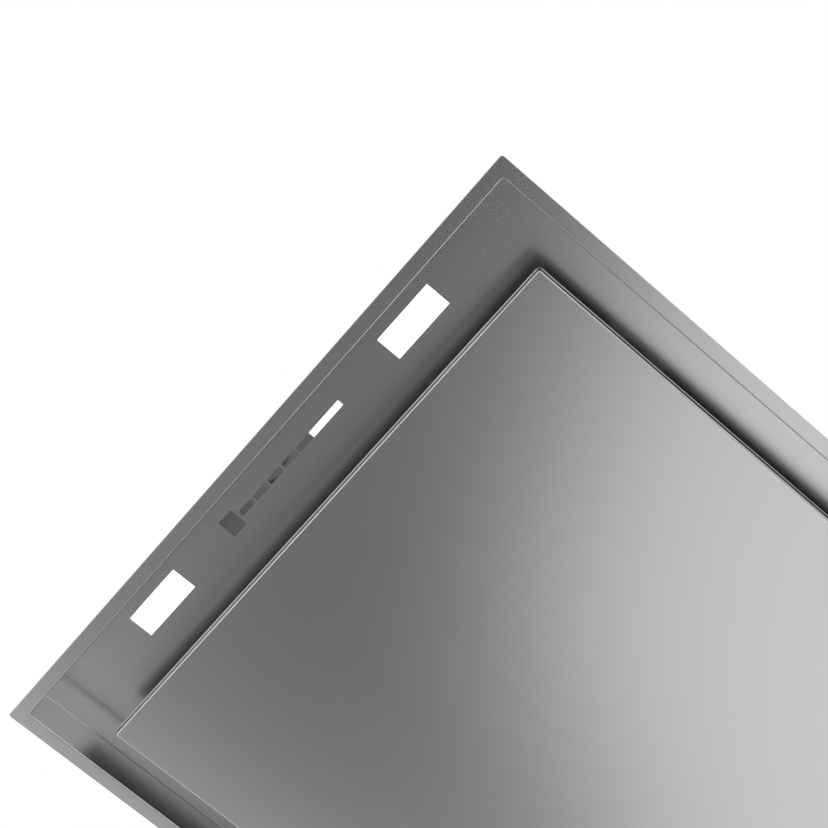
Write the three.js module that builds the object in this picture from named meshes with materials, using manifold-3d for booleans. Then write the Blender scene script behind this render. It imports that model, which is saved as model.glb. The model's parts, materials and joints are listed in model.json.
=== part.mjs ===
// Ceiling range hood with edge suction, in millimetres, +Z up.
//
// Z = 0 is the underside of the ceiling, where the trim flange seats. X runs along the hood,
// from the end with the indicators (-X, "near") to the other end (+X, "far"). +Y is "left" and
// -Y is "right". The origin is the centre of the ceiling cut-out.

import * as THREE from 'three';
import { mergeVertices } from 'three/addons/utils/BufferGeometryUtils.js';
import Module from 'manifold-3d';

const wasm = await Module();
wasm.setup();

// ---- Driving dimensions ------------------------------------------------------------------

const seat = 0.3;               // gap between pieces that rest on or in each other
const fit = 0.15;               // gap round a lens in its cut-out
const overcut = 1;              // of a cut, past the face that it opens

// Trim tray: flange, recess walls and recessed face, folded from one sheet
const hoodLength = 900;
const hoodWidth = 500;
const flangeWidth = 10.1;
const traySheet = 1.2;
const recessDepth = 31.8;       // from the flange's visible side up to the recessed face
const trimCorner = 2;

// Centre panel, flush with the flange
const panelEndMargin = 62.7;    // from the hood's end to the panel's edge
const panelSideMargin = 37.1;   // from the hood's side to the panel's edge
const panelEdge = 9;            // height of its folded edge
const panelSheet = 1;
const panelLip = 12;            // folded back inwards over the edge
const panelCorner = 2;
const backInset = 3;            // from the panel's edge to its back plate
const backSheet = 1;
const panelFold = 1;            // radius inside its folded corners

// Intake, hidden behind the panel
const intakeInset = 30;         // from the panel's edge to the intake's edge

// Casing above the ceiling
const casingGap = 5.9;          // from the recess wall's outside in to the casing's ends
const casingSideGap = 10.4;     // and to its long sides
const casingSheet = 1;
const casingHeight = 108;
const casingFoot = 12;
const sheetCorner = 2;          // radius outside the casing's and the blower box's corners

// Blower box on the casing
const blowerBoxSize = 350;
const blowerBoxSheet = 1;
const blowerBoxHeight = 158.5;
const blowerBoxFoot = 12;

// Scroll, seen from above; air turns anticlockwise and leaves along +X
const scrollSheet = 1.2;
const scrollHeight = 150;
const scrollThroat = 99;        // radius at the tongue
const scrollReach = 150;        // radius where the scroll becomes the outlet
const mouthWidth = 118;
const tongueAngle = THREE.MathUtils.degToRad(-35);
const mouthAngle = THREE.MathUtils.degToRad(270);
const scrollSteps = 36;

// Impeller and motor
const impellerRadius = 92;
const impellerHeight = 94;
const impellerSheet = 1.5;
const impellerLift = 26;        // from the scroll's floor to the lower ring
const bladeCount = 24;
const bladeInnerRadius = 75;
const bladeThickness = 1.2;
const bladeSweep = THREE.MathUtils.degToRad(16);
const bladeSteps = 2;
const cupRadius = 54;           // inside of the cup that the motor sits in
const cupLift = 24;             // from the lower ring up to the cup's floor
const hubRadius = 12;
const hubHeight = 12;
const shaftRadius = 4;
const shaftTail = 6;            // of the shaft, below the hub
const shaftBearing = 9;         // of the shaft, inside the motor
const shaftFit = 0.1;
const motorRadius = 50;
const motorFlangeRadius = 62;
const motorFlangeSheet = 3;
const motorChamfer = 6;
const motorClearance = 8;       // between the motor and the cup's floor
const inletRadius = 68;
const inletFlange = 30;
const inletSheet = 1.5;
const inletOverlap = 3;         // of the inlet's lip, inside the lower ring

// Outlet collar and its two flaps
const ductRadius = 74.5;        // outside of the collar
const collarWall = 2.5;
const collarLength = 58;
const collarFlangeSize = 154;
const collarFlangeSheet = 3;
const collarFlangeCorner = 6;
const collarRib = 16;           // across the duct, in front of the flap pin
const flapPinSetback = 14;      // from the collar's seat to the flap pin
const flapPinRadius = 1.5;
const flapKnuckle = 3.5;
const flapSheet = 1.5;
const flapGap = 1.5;            // between a flap's rim and the collar
const flapStop = 6;             // depth of the ledge that the flaps close on
const flapStopSheet = 2;
const knuckleLength = 14;
const knucklePlaces = [-2.5, 0.5]; // of one flap's knuckles, in knuckle pitches from the middle

// Hinges on the panel's right side
const hingeFromEnd = 87.3;      // from the panel's end to the middle of the hinge
const hingeInset = 7.9;         // from the panel's edge in to the hinge pin
const hingeLift = 5.7;          // from the panel's back up to the hinge pin
const hingePinRadius = 2.5;
const hingeKnuckle = 5;
const hingeFit = 0.1;
const hingeLength = 46;
const hingeLeafSheet = 2;
const hingeLeafDepth = 24;
const hingeWeb = 5;
const hingeWall = 0.5;          // between the pin's hole and the leaf's web

// Sprung push latches on the panel's left side
const latchFromEnd = 127.3;     // from the panel's end to the middle of the latch
const latchInset = 17;          // from the panel's edge in to the latch
const latchLength = 30;
const latchWidth = 22;
const latchHeight = 13;
const latchRoof = 2;
const plungerRadius = 5;
const plungerTravel = 2.5;
const strikeLength = 26;
const strikeWidth = 18;
const strikeSheet = 1;

// Grease filters
const filterSide = 1.5;         // gap from the filter to the intake's long edges
const filterHeight = 10;
const filterLedge = 6;          // that the filter's outer end rests on
const filterMiddle = 5;         // from the middle of the hood to the filter's inner end
const filterChannel = 12;
const filterSheet = 1.2;
const filterCorner = 2;
const pleatPitch = 18;
const pleatSheet = 1;
const crossbarWidth = 24;
const crossbarSheet = 1.5;
const crossbarTab = 12;
const springSpace = 15;         // from the filter's outer end to the stop
const springLength = 90;
const springSheet = 0.5;
const springWidth = 8;
const springSteps = 16;
const stopLength = 100;
const stopHeight = 12;
const pullWidth = 64;
const pullDrop = 11;
const pullRadius = 1.5;
const pullInset = 22;           // from the filter's inner end

// Lamps, two at each end
const lampInset = 31;           // from the hood's end to the lamp's centre line
const lampSpacing = 260.6;
const lampLength = 48.2;
const lampWidth = 18.5;
const lampProud = 0.2;
const lampRim = 2;
const lampRimSheet = 1.5;
const lampHousingWall = 2.5;
const lampHousingHeight = 9;
const lampFinCount = 8;
const lampFinHeight = 9;
const lampFinSheet = 1.4;

// Indicators, at the near end
const indicatorInset = 30.7;    // from the hood's end to the row's centre line
const litCentre = -44.05;
const litLength = 29.3;
const litWidth = 4.2;
const dashCount = 5;
const dashPitch = 15;
const dashCentre = 8;           // of the row of dashes
const dashLength = 12.4;
const dashWidth = 3.7;
const signalCentre = 53.25;
const signalLength = 12.3;
const signalWidth = 13.3;
const indicatorBack = 2;
const indicatorLip = 0.4;
const carrierLength = 136;
const carrierWidth = 24;
const carrierHeight = 16;
const carrierWall = 2;

// Boxes in a row across the casing's roof, with the control box in the middle
const boxRowInset = 132;        // from the casing's end to the row's centre line
const controlBox = { length: 130, width: 120, height: 38, wall: 1.5 };
const controlLid = { lip: 3, skirt: 8, sheet: 1.2 };
const driverBox = { length: 110, width: 44, height: 28, gap: 48 };
const driverFin = { count: 9, height: 3, width: 4 };
const terminalBox = { length: 84, width: 62, height: 36, wall: 2, gap: 41 };
const gland = { thread: 6, nut: 11, nutLength: 6, dome: 9, length: 20, bore: 4, neck: 4 };

// Hanging brackets at the casing's corners
const bracketInset = 69.2;      // from the casing's ends
const bracketSideInset = 40;    // from the casing's sides
const bracketWidth = 34;
const bracketSheet = 2.5;
const bracketFoot = 40;
const bracketHeight = 90;
const bracketEar = 34;
const bracketHole = 4.5;
const boltRadius = 3;
const boltFit = 0.3;
const boltHead = 5.5;
const boltHeadHeight = 4;
const boltGrip = 10;

const fine = 40;                // segments round a large circle
const coarse = 16;              // segments round a small one
const hexagon = 6;              // sides of a nut or a bolt's head
const cornerSteps = 3;          // segments round a corner

// ---- Levels and places that follow from them ----------------------------------------------

const visiblePlane = -traySheet;
const recessFace = visiblePlane + recessDepth;
const trayTop = recessFace + traySheet;
const recessLength = hoodLength - 2 * flangeWidth;
const recessWidth = hoodWidth - 2 * flangeWidth;

const panelLength = hoodLength - 2 * panelEndMargin;
const panelWidth = hoodWidth - 2 * panelSideMargin;
const panelTop = visiblePlane + panelEdge;
const backTop = panelTop + seat + backSheet;

const intakeLength = panelLength - 2 * intakeInset;
const intakeWidth = panelWidth - 2 * intakeInset;

const casingLength = recessLength + 2 * traySheet - 2 * casingGap;
const casingWidth = recessWidth + 2 * traySheet - 2 * casingSideGap;
const casingFloor = trayTop + seat;
const roofTop = casingFloor + casingHeight;
const roofSeat = roofTop + seat;

const blowerTop = roofSeat + blowerBoxHeight;
const scrollFloor = roofSeat + scrollSheet;
const scrollTop = roofSeat + scrollHeight;
const mouthX = blowerBoxSize / 2 - blowerBoxSheet - seat;
const impellerFloor = scrollFloor + impellerLift;
const impellerTop = impellerFloor + impellerHeight;
const cupFloor = impellerFloor + cupLift;
const motorFlangeFloor = scrollTop + seat;
const inletThroat = bladeInnerRadius - inletOverlap;

const collarX = blowerBoxSize / 2 + seat;
const collarY = -scrollReach + mouthWidth / 2;
const collarZ = (roofSeat + blowerTop) / 2;
const flapPinX = collarX + flapPinSetback;
const flapRadius = ductRadius - collarWall - flapGap;
const flapFloor = flapPinSetback - flapKnuckle;

const hingeX = panelLength / 2 - hingeFromEnd;
const hingeY = -panelWidth / 2 + hingeInset;
const hingeZ = backTop + hingeLift;
const latchX = panelLength / 2 - latchFromEnd;
const latchY = panelWidth / 2 - latchInset;

const filterFloor = trayTop + seat;
const filterOuter = intakeLength / 2 + filterLedge;
const filterLength = filterOuter - filterMiddle;
const filterWidth = intakeWidth - 2 * filterSide;
const stopX = filterOuter + springSpace;

const boxRowX = -casingLength / 2 + boxRowInset;

// ---- Materials ------------------------------------------------------------------------------

function material(color, roughness, metalness) {
  return new THREE.MeshStandardMaterial({ color, roughness, metalness, flatShading: true });
}

const stainless = material(0x9a9a9a, 0.32, 1);
const galvanised = material(0xb4b6b8, 0.5, 0.9);
const darkPaint = material(0x26272a, 0.6, 0.1);
const zinc = material(0xc6c6c2, 0.35, 0.9);
const springSteel = material(0x8d9094, 0.3, 1);
const filterMetal = material(0xbfc1c3, 0.4, 0.95);
const castMetal = material(0x8b8d90, 0.55, 0.8);
const blackPlastic = material(0x1d1e20, 0.55, 0);
const greyPlastic = material(0x6c6f73, 0.6, 0);
const lampWhite = new THREE.MeshStandardMaterial({
  color: 0xffffff, roughness: 0.5, metalness: 0, emissive: 0xffffff, flatShading: true,
});
const dimLens = material(0x5b5c5e, 0.3, 0);
const signalGlass = material(0x4a4b4d, 0.2, 0);

// ---- Solid helpers --------------------------------------------------------------------------

/** A closed three.js geometry as a solid that can be joined and cut. */
function solidOf(geometry) {
  geometry.deleteAttribute('normal');
  geometry.deleteAttribute('uv');
  const merged = mergeVertices(geometry);
  return new wasm.Manifold(new wasm.Mesh({
    numProp: 3,
    vertProperties: merged.attributes.position.array,
    triVerts: new Uint32Array(merged.index.array),
  }));
}

/** A solid as a mesh's geometry. */
function geometryOf(solid) {
  const mesh = solid.getMesh();
  const geometry = new THREE.BufferGeometry();
  geometry.setAttribute('position', new THREE.BufferAttribute(mesh.vertProperties, 3));
  geometry.setIndex(new THREE.BufferAttribute(mesh.triVerts, 1));
  geometry.computeVertexNormals();
  return geometry;
}

/** The solids joined into one. */
function join(...solids) {
  return solids.reduce((whole, next) => whole.add(next));
}

/** The first solid with the others cut out of it. */
function cut(solid, ...tools) {
  return tools.reduce((whole, tool) => whole.subtract(tool), solid);
}

/** A block between two corners, given axis by axis. */
function block([x0, x1], [y0, y1], [z0, z1]) {
  const geometry = new THREE.BoxGeometry(x1 - x0, y1 - y0, z1 - z0);
  geometry.translate((x0 + x1) / 2, (y0 + y1) / 2, (z0 + z1) / 2);
  return solidOf(geometry);
}

/** A range of the given size about a centre. */
function about(centre, size) {
  return [centre - size / 2, centre + size / 2];
}

/** A rectangle with rounded corners about the origin, as a shape. */
function rectangle(length, width, radius = 0) {
  const x = length / 2;
  const y = width / 2;
  const shape = new THREE.Shape();
  if (radius === 0) {
    return shape.moveTo(-x, -y).lineTo(x, -y).lineTo(x, y).lineTo(-x, y).closePath();
  }
  shape.moveTo(-x + radius, -y);
  shape.lineTo(x - radius, -y).absarc(x - radius, -y + radius, radius, -Math.PI / 2, 0);
  shape.lineTo(x, y - radius).absarc(x - radius, y - radius, radius, 0, Math.PI / 2);
  shape.lineTo(-x + radius, y).absarc(-x + radius, y - radius, radius, Math.PI / 2, Math.PI);
  shape.lineTo(-x, -y + radius);
  shape.absarc(-x + radius, -y + radius, radius, Math.PI, Math.PI * 1.5);
  return shape;
}

/** A flat shape extruded between two levels. */
function plate(shape, [z0, z1]) {
  const options = { depth: z1 - z0, bevelEnabled: false, curveSegments: cornerSteps };
  const geometry = new THREE.ExtrudeGeometry(shape, options);
  geometry.translate(0, 0, z0);
  return solidOf(geometry);
}

/** A plate with a rectangular window. */
function frame(outer, inner, levels) {
  return cut(plate(outer, levels), plate(inner, [levels[0] - overcut, levels[1] + overcut]));
}

/** A polygon from a list of [x, y] points, as a shape. */
function polygon(points) {
  return new THREE.Shape(points.map(([x, y]) => new THREE.Vector2(x, y)));
}

/** A round bar along Z, centred on the axis. */
function bar(radius, [z0, z1], segments = coarse) {
  const geometry = new THREE.CylinderGeometry(radius, radius, z1 - z0, segments);
  geometry.rotateX(Math.PI / 2);
  geometry.translate(0, 0, (z0 + z1) / 2);
  return solidOf(geometry);
}

/** The same bar laid along X. */
function barX(radius, ends, segments = coarse) {
  return bar(radius, ends, segments).rotate([0, 90, 0]);
}

/** A [radius, z] outline turned about Z. */
function turned(outline, segments = fine) {
  const points = outline.map(([radius, z]) => new THREE.Vector2(radius, z));
  const geometry = new THREE.LatheGeometry(points, segments);
  geometry.rotateX(Math.PI / 2);
  return solidOf(geometry);
}

/** A named piece of the hood. */
function piece(name, solid, finish) {
  const mesh = new THREE.Mesh(geometryOf(solid), finish);
  mesh.name = name;
  return mesh;
}

/** Pieces placed together. */
function placed(x, y, z, ...pieces) {
  const group = new THREE.Group();
  group.position.set(x, y, z);
  group.add(...pieces);
  return group;
}

// ---- Trim tray ------------------------------------------------------------------------------

const lampPlaces = [
  { name: 'near_left', x: -1, y: 1 },
  { name: 'near_right', x: -1, y: -1 },
  { name: 'far_left', x: 1, y: 1 },
  { name: 'far_right', x: 1, y: -1 },
].map(({ name, x, y }) => ({
  name,
  x: x * (hoodLength / 2 - lampInset),
  y: y * lampSpacing / 2,
}));

const dashPlaces = Array.from({ length: dashCount }, (_, index) => (
  dashCentre + (index - (dashCount - 1) / 2) * dashPitch
));

const indicatorX = -hoodLength / 2 + indicatorInset;

/** A window through the recessed face, with a lens gap all round. */
function lensWindow(x, y, width, length) {
  return block(
    about(x, width + 2 * fit),
    about(y, length + 2 * fit),
    [recessFace - overcut, trayTop + overcut],
  );
}

function trimTray() {
  const wallLength = recessLength + 2 * traySheet;
  const wallWidth = recessWidth + 2 * traySheet;
  const recess = rectangle(recessLength, recessWidth, trimCorner);
  const wallOutside = rectangle(wallLength, wallWidth, trimCorner + traySheet);
  const flange = frame(rectangle(hoodLength, hoodWidth, trimCorner), recess, [visiblePlane, 0]);
  const wall = frame(wallOutside, recess, [visiblePlane, trayTop]);
  const face = frame(wallOutside, rectangle(intakeLength, intakeWidth), [recessFace, trayTop]);
  const stops = [-1, 1].map((side) => block(
    about(side * (stopX + traySheet / 2), traySheet),
    about(0, stopLength),
    [recessFace, trayTop + stopHeight],
  ));
  const windows = [
    ...lampPlaces.map(({ x, y }) => lensWindow(x, y, lampWidth, lampLength)),
    lensWindow(indicatorX, litCentre, litWidth, litLength),
    ...dashPlaces.map((y) => lensWindow(indicatorX, y, dashWidth, dashLength)),
    lensWindow(indicatorX, signalCentre, signalWidth, signalLength),
  ];
  return piece('trim_tray', cut(join(flange, wall, face, ...stops), ...windows), stainless);
}

// ---- Centre panel ---------------------------------------------------------------------------

function panelSkin() {
  const inside = rectangle(
    panelLength - 2 * panelSheet, panelWidth - 2 * panelSheet, panelFold,
  );
  const mouth = rectangle(panelLength - 2 * panelLip, panelWidth - 2 * panelLip);
  const skin = cut(
    plate(rectangle(panelLength, panelWidth, panelCorner), [visiblePlane, panelTop]),
    plate(inside, [visiblePlane + panelSheet, panelTop - panelSheet]),
    plate(mouth, [panelTop - panelSheet - overcut, panelTop + overcut]),
  );
  return piece('panel_skin', skin, stainless);
}

function panelBack() {
  const outline = rectangle(panelLength - 2 * backInset, panelWidth - 2 * backInset, panelCorner);
  return piece('panel_back', plate(outline, [panelTop + seat, backTop]), darkPaint);
}

// ---- Hinges ---------------------------------------------------------------------------------

/** Hinge pieces about the pin's middle: X along the pin, Y towards the middle of the hood. */
function hinge(name) {
  const third = hingeLength / 3;
  const pinHole = barX(hingePinRadius + hingeFit, [-hingeLength, hingeLength]);
  const footTop = recessFace - seat - hingeZ;
  const foot = block(
    about(0, hingeLength),
    [-hingeWeb / 2, hingeLeafDepth - hingeWeb],
    [footTop - hingeLeafSheet, footTop],
  );
  const earEnds = [
    [-hingeLength / 2, -third / 2 - seat],
    [third / 2 + seat, hingeLength / 2],
  ];
  const ears = earEnds.flatMap((ends) => [
    barX(hingeKnuckle, ends),
    block(ends, about(0, hingeWeb), [0, footTop]),
  ]);
  const leafFloor = -hingeLift + seat;
  const leaf = join(
    barX(hingeKnuckle, [-third / 2, third / 2]),
    block(
      about(0, third), [-hingeWeb / 2, hingeLeafDepth], [leafFloor, leafFloor + hingeLeafSheet],
    ),
    block(
      about(0, third), about(0, hingeWeb), [leafFloor, -hingePinRadius - hingeFit - hingeWall],
    ),
  );
  const pin = barX(hingePinRadius, [-hingeLength / 2, hingeLength / 2]);
  return [
    piece(`hinge_bracket_${name}`, cut(join(foot, ...ears), pinHole), zinc),
    piece(`hinge_leaf_${name}`, cut(leaf, pinHole), zinc),
    piece(`hinge_pin_${name}`, pin, springSteel),
  ];
}

// ---- Push latches ---------------------------------------------------------------------------

/** Latch pieces about the latch's axis, at the real height. */
function latch(name) {
  const housingTop = recessFace - seat;
  const housingFloor = housingTop - latchHeight;
  const strikeFloor = backTop + seat;
  const tip = strikeFloor + strikeSheet + seat;
  const plungerEnd = housingTop - latchRoof - plungerTravel - seat;
  const housing = cut(
    block(about(0, latchLength), about(0, latchWidth), [housingFloor, housingTop]),
    bar(plungerRadius + seat, [housingFloor - overcut, housingTop - latchRoof]),
  );
  const strike = block(
    about(0, strikeLength), about(0, strikeWidth), [strikeFloor, strikeFloor + strikeSheet],
  );
  return [
    piece(`latch_housing_${name}`, housing, blackPlastic),
    piece(`latch_plunger_${name}`, bar(plungerRadius, [tip, plungerEnd]), greyPlastic),
    piece(`strike_plate_${name}`, strike, zinc),
  ];
}

// ---- Grease filters -------------------------------------------------------------------------

/** A pleated sheet, pleated along X and as wide as the filter. */
function pleats(length, width, [z0, z1]) {
  const count = Math.round(length / pleatPitch);
  const step = length / count / 2;
  const level = (index) => (index % 2 ? z1 - pleatSheet : z0);
  const lower = Array.from({ length: 2 * count + 1 }, (_, index) => (
    [-length / 2 + index * step, level(index)]
  ));
  const upper = lower.map(([x, z]) => [x, z + pleatSheet]).reverse();
  const geometry = new THREE.ExtrudeGeometry(
    polygon([...lower, ...upper]), { depth: width, bevelEnabled: false },
  );
  geometry.rotateX(Math.PI / 2);
  geometry.translate(0, width / 2, 0);
  return solidOf(geometry);
}

/** A wire pull: two legs and a bar, hanging from the filter. */
function pull() {
  const legs = [-1, 1].map((side) => (
    bar(pullRadius, [-pullDrop, 0]).translate([0, side * pullWidth / 2, 0])
  ));
  const grip = new THREE.CylinderGeometry(
    pullRadius, pullRadius, pullWidth + 2 * pullRadius, coarse,
  );
  grip.translate(0, 0, -pullDrop);
  return join(solidOf(grip), ...legs);
}

/** A bowed leaf spring in the XY plane: its ends rest on the stop and its crown on the filter. */
function leafSpring(levels) {
  const depth = springSpace - 2 * seat - springSheet;
  const line = Array.from({ length: springSteps + 1 }, (_, index) => {
    const share = index / springSteps - 0.5;
    return [depth * (0.5 - 0.5 * Math.cos(2 * Math.PI * share)), share * springLength];
  });
  const outer = line.map(([x, y]) => [x + springSheet, y]);
  return plate(polygon([...line, ...outer.reverse()]), levels);
}

function filter(name, side) {
  const centre = filterMiddle + filterLength / 2;
  const filterTop = filterFloor + filterHeight;
  const grooveInset = 2 * filterSheet;
  const groove = plate(
    rectangle(filterLength - grooveInset, filterWidth - grooveInset),
    [filterFloor + filterSheet, filterTop - filterSheet],
  );
  const channel = cut(
    frame(
      rectangle(filterLength, filterWidth, filterCorner),
      rectangle(filterLength - 2 * filterChannel, filterWidth - 2 * filterChannel),
      [filterFloor, filterTop],
    ),
    groove,
  );
  const meshInset = grooveInset + 2 * seat;
  const mesh = pleats(filterLength - meshInset, filterWidth - meshInset, [
    filterFloor + filterSheet + seat, filterTop - filterSheet - seat,
  ]);
  const spring = leafSpring(about(filterFloor + filterHeight / 2, springWidth));
  const pullX = side * (filterMiddle + pullInset / 2 - pullRadius);
  return [
    placed(
      side * centre, 0, 0,
      piece(`filter_frame_${name}`, channel, filterMetal),
      piece(`filter_mesh_${name}`, mesh, filterMetal),
    ),
    placed(pullX, 0, filterFloor - seat, piece(`filter_pull_${name}`, pull(), springSteel)),
    placed(
      side * (stopX - seat), 0, 0,
      piece(`filter_spring_${name}`, side > 0 ? spring.rotate([0, 0, 180]) : spring, springSteel),
    ),
  ];
}

function crossbar() {
  const bottom = trayTop - 2 * crossbarSheet;
  const middle = block(about(0, crossbarWidth), about(0, intakeWidth - 2 * seat), [bottom, trayTop]);
  const tabs = block(
    about(0, crossbarWidth),
    about(0, intakeWidth + 2 * crossbarTab),
    [recessFace - seat - crossbarSheet, recessFace - seat],
  );
  return piece('filter_crossbar', join(middle, tabs), zinc);
}

// ---- Lamps ----------------------------------------------------------------------------------

/** Lamp pieces about the lamp's middle, at the real height: X across, Y along the lamp. */
function lamp(name) {
  const rimFloor = trayTop + seat;
  const rimTop = rimFloor + lampRimSheet;
  const lens = join(
    block(about(0, lampWidth), about(0, lampLength), [recessFace - lampProud, rimTop]),
    block(about(0, lampWidth + 2 * lampRim), about(0, lampLength + 2 * lampRim), [rimFloor, rimTop]),
  );
  const pocketWidth = lampWidth + 2 * lampRim + 2 * seat;
  const pocketLength = lampLength + 2 * lampRim + 2 * seat;
  const width = pocketWidth + 2 * lampHousingWall;
  const length = pocketLength + 2 * lampHousingWall;
  const housingTop = rimFloor + lampHousingHeight;
  const finPitch = (length - lampFinSheet) / (lampFinCount - 1);
  const fins = Array.from({ length: lampFinCount }, (_, index) => block(
    about(0, width),
    about((index - (lampFinCount - 1) / 2) * finPitch, lampFinSheet),
    [housingTop - overcut, housingTop + lampFinHeight],
  ));
  const housing = cut(
    join(block(about(0, width), about(0, length), [rimFloor, housingTop]), ...fins),
    block(
      about(0, pocketWidth),
      about(0, pocketLength),
      [rimFloor - overcut, housingTop - lampHousingWall],
    ),
  );
  return [
    piece(`lamp_lens_${name}`, lens, lampWhite),
    piece(`lamp_housing_${name}`, housing, castMetal),
  ];
}

// ---- Indicators -----------------------------------------------------------------------------

/** A lens behind the recessed face, with pads that fill its windows. */
function indicatorLens(name, width, places, length, finish) {
  const backFloor = trayTop + seat;
  const centre = (places[0] + places[places.length - 1]) / 2;
  const span = places[places.length - 1] - places[0] + length + 2 * indicatorLip;
  const pads = places.map((y) => block(
    about(0, width), about(y, length), [recessFace, backFloor + indicatorBack],
  ));
  const back = block(
    about(0, signalWidth + 2 * indicatorLip),
    about(centre, span),
    [backFloor, backFloor + indicatorBack],
  );
  return piece(name, join(back, ...pads), finish);
}

function indicators() {
  const floor = trayTop + seat;
  const pocketFloor = floor + indicatorBack + seat;
  const carrier = cut(
    block(about(0, carrierWidth), about(0, carrierLength), [floor, floor + carrierHeight]),
    block(
      about(0, carrierWidth - 2 * carrierWall),
      about(0, carrierLength - 2 * carrierWall),
      [floor - overcut, pocketFloor],
    ),
    block(
      about(0, carrierWidth - 4 * carrierWall),
      about(0, carrierLength - 4 * carrierWall),
      [floor, floor + carrierHeight - carrierWall],
    ),
  );
  return placed(
    indicatorX, 0, 0,
    piece('indicator_carrier', carrier, blackPlastic),
    indicatorLens('lit_indicator', litWidth, [litCentre], litLength, lampWhite),
    indicatorLens('speed_indicators', dashWidth, dashPlaces, dashLength, dimLens),
    indicatorLens('signal_window', signalWidth, [signalCentre], signalLength, signalGlass),
  );
}

// ---- Casing ---------------------------------------------------------------------------------

const bracketPlaces = [
  { name: 'near_left', x: -1, y: 1 },
  { name: 'near_right', x: -1, y: -1 },
  { name: 'far_left', x: 1, y: 1 },
  { name: 'far_right', x: 1, y: -1 },
].map(({ name, x, y }) => ({
  name,
  end: x,
  x: x * (casingLength / 2 - bracketInset),
  y: y * (casingWidth / 2 - bracketSideInset),
}));

function casing() {
  const inside = [casingLength - 2 * casingSheet, casingWidth - 2 * casingSheet];
  const shell = cut(
    plate(rectangle(casingLength, casingWidth, sheetCorner), [casingFloor, roofTop]),
    block(about(0, inside[0]), about(0, inside[1]), [casingFloor - overcut, roofTop - casingSheet]),
  );
  const feet = [-1, 1].map((side) => block(
    about(0, inside[0]),
    about(side * (inside[1] / 2 - casingFoot / 2), casingFoot + casingSheet),
    [casingFloor, casingFloor + casingSheet],
  ));
  const through = [roofTop - casingSheet - overcut, roofTop + overcut];
  const holes = [
    bar(inletThroat + inletFlange / 2, through, fine),
    ...bracketPlaces.map(({ x, y }) => bar(boltRadius + boltFit, through).translate([x, y, 0])),
  ];
  return piece('casing', cut(join(shell, ...feet), ...holes), galvanised);
}

// ---- Blower ---------------------------------------------------------------------------------

function blowerBox() {
  const half = blowerBoxSize / 2;
  const shell = cut(
    plate(rectangle(blowerBoxSize, blowerBoxSize, sheetCorner), [roofSeat, blowerTop]),
    block(
      about(0, blowerBoxSize - 2 * blowerBoxSheet),
      about(0, blowerBoxSize - 2 * blowerBoxSheet),
      [roofSeat - overcut, blowerTop - blowerBoxSheet],
    ),
  );
  const footSize = blowerBoxSize + 2 * blowerBoxFoot;
  const foot = frame(
    rectangle(footSize, footSize, sheetCorner),
    rectangle(blowerBoxSize - blowerBoxSheet, blowerBoxSize - blowerBoxSheet),
    [roofSeat, roofSeat + blowerBoxSheet],
  );
  const wall = [half - blowerBoxSheet - overcut, half + overcut];
  const outlet = barX(ductRadius - collarWall, wall, fine);
  return piece(
    'blower_box', cut(join(shell, foot), outlet.translate([0, collarY, collarZ])), galvanised,
  );
}

/** The scroll's outline from the tongue round to its outlet, grown outwards by a margin. */
function spiral(margin) {
  return Array.from({ length: scrollSteps + 1 }, (_, index) => {
    const share = index / scrollSteps;
    const angle = tongueAngle + share * (mouthAngle - tongueAngle);
    const radius = scrollThroat + share * (scrollReach - scrollThroat) + margin;
    return [radius * Math.cos(angle), radius * Math.sin(angle)];
  });
}

/** The scroll and its straight outlet as one solid, grown outwards by a margin. */
function scrollBody(margin, end, levels) {
  const outline = spiral(margin);
  const [tongueX, tongueY] = outline[0];
  const [lastX, lastY] = outline[scrollSteps];
  const outlet = polygon([
    [lastX, lastY],
    [end, lastY],
    [end, -scrollReach + mouthWidth + margin],
    [tongueX, tongueY + margin],
    [0, 0],
  ]);
  return join(plate(polygon(outline), levels), plate(outlet, levels));
}

function scroll() {
  const housing = cut(
    scrollBody(scrollSheet, mouthX, [roofSeat, scrollTop]),
    scrollBody(0, mouthX + overcut, [scrollFloor, scrollTop - scrollSheet]),
    bar(inletThroat + inletFlange / 2, [roofSeat - overcut, scrollFloor + overcut], fine),
    bar(motorRadius + 2 * seat, [scrollTop - scrollSheet - overcut, scrollTop + overcut], fine),
  );
  return piece('scroll_housing', housing, galvanised);
}

/** The ring under the casing's roof that leads air up into the impeller. */
function inletRing() {
  const flangeTop = roofTop - casingSheet - seat;
  const flangeFloor = flangeTop - inletSheet;
  const lip = impellerFloor + inletOverlap;
  const wide = inletRadius + inletFlange / 3;
  return piece('inlet_ring', turned([
    [wide, flangeFloor],
    [inletRadius + inletFlange, flangeFloor],
    [inletRadius + inletFlange, flangeTop],
    [wide + inletSheet, flangeTop],
    [inletRadius + inletSheet, (flangeTop + lip) / 2],
    [inletRadius + inletSheet, lip],
    [inletRadius, lip],
    [inletRadius, (flangeTop + lip) / 2],
    [wide, flangeFloor],
  ]), blackPlastic);
}

/** One forward-curved blade, from the lower ring to the upper one. */
function blade() {
  const line = (offset) => Array.from({ length: bladeSteps + 1 }, (_, index) => {
    const share = index / bladeSteps;
    const radius = bladeInnerRadius + share * (impellerRadius - bladeInnerRadius);
    const angle = bladeSweep * share * share + offset / radius;
    return [radius * Math.cos(angle), radius * Math.sin(angle)];
  });
  const outline = [...line(0), ...line(bladeThickness).reverse()];
  return plate(polygon(outline), [
    impellerFloor + impellerSheet / 2, impellerTop - impellerSheet / 2,
  ]);
}

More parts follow.
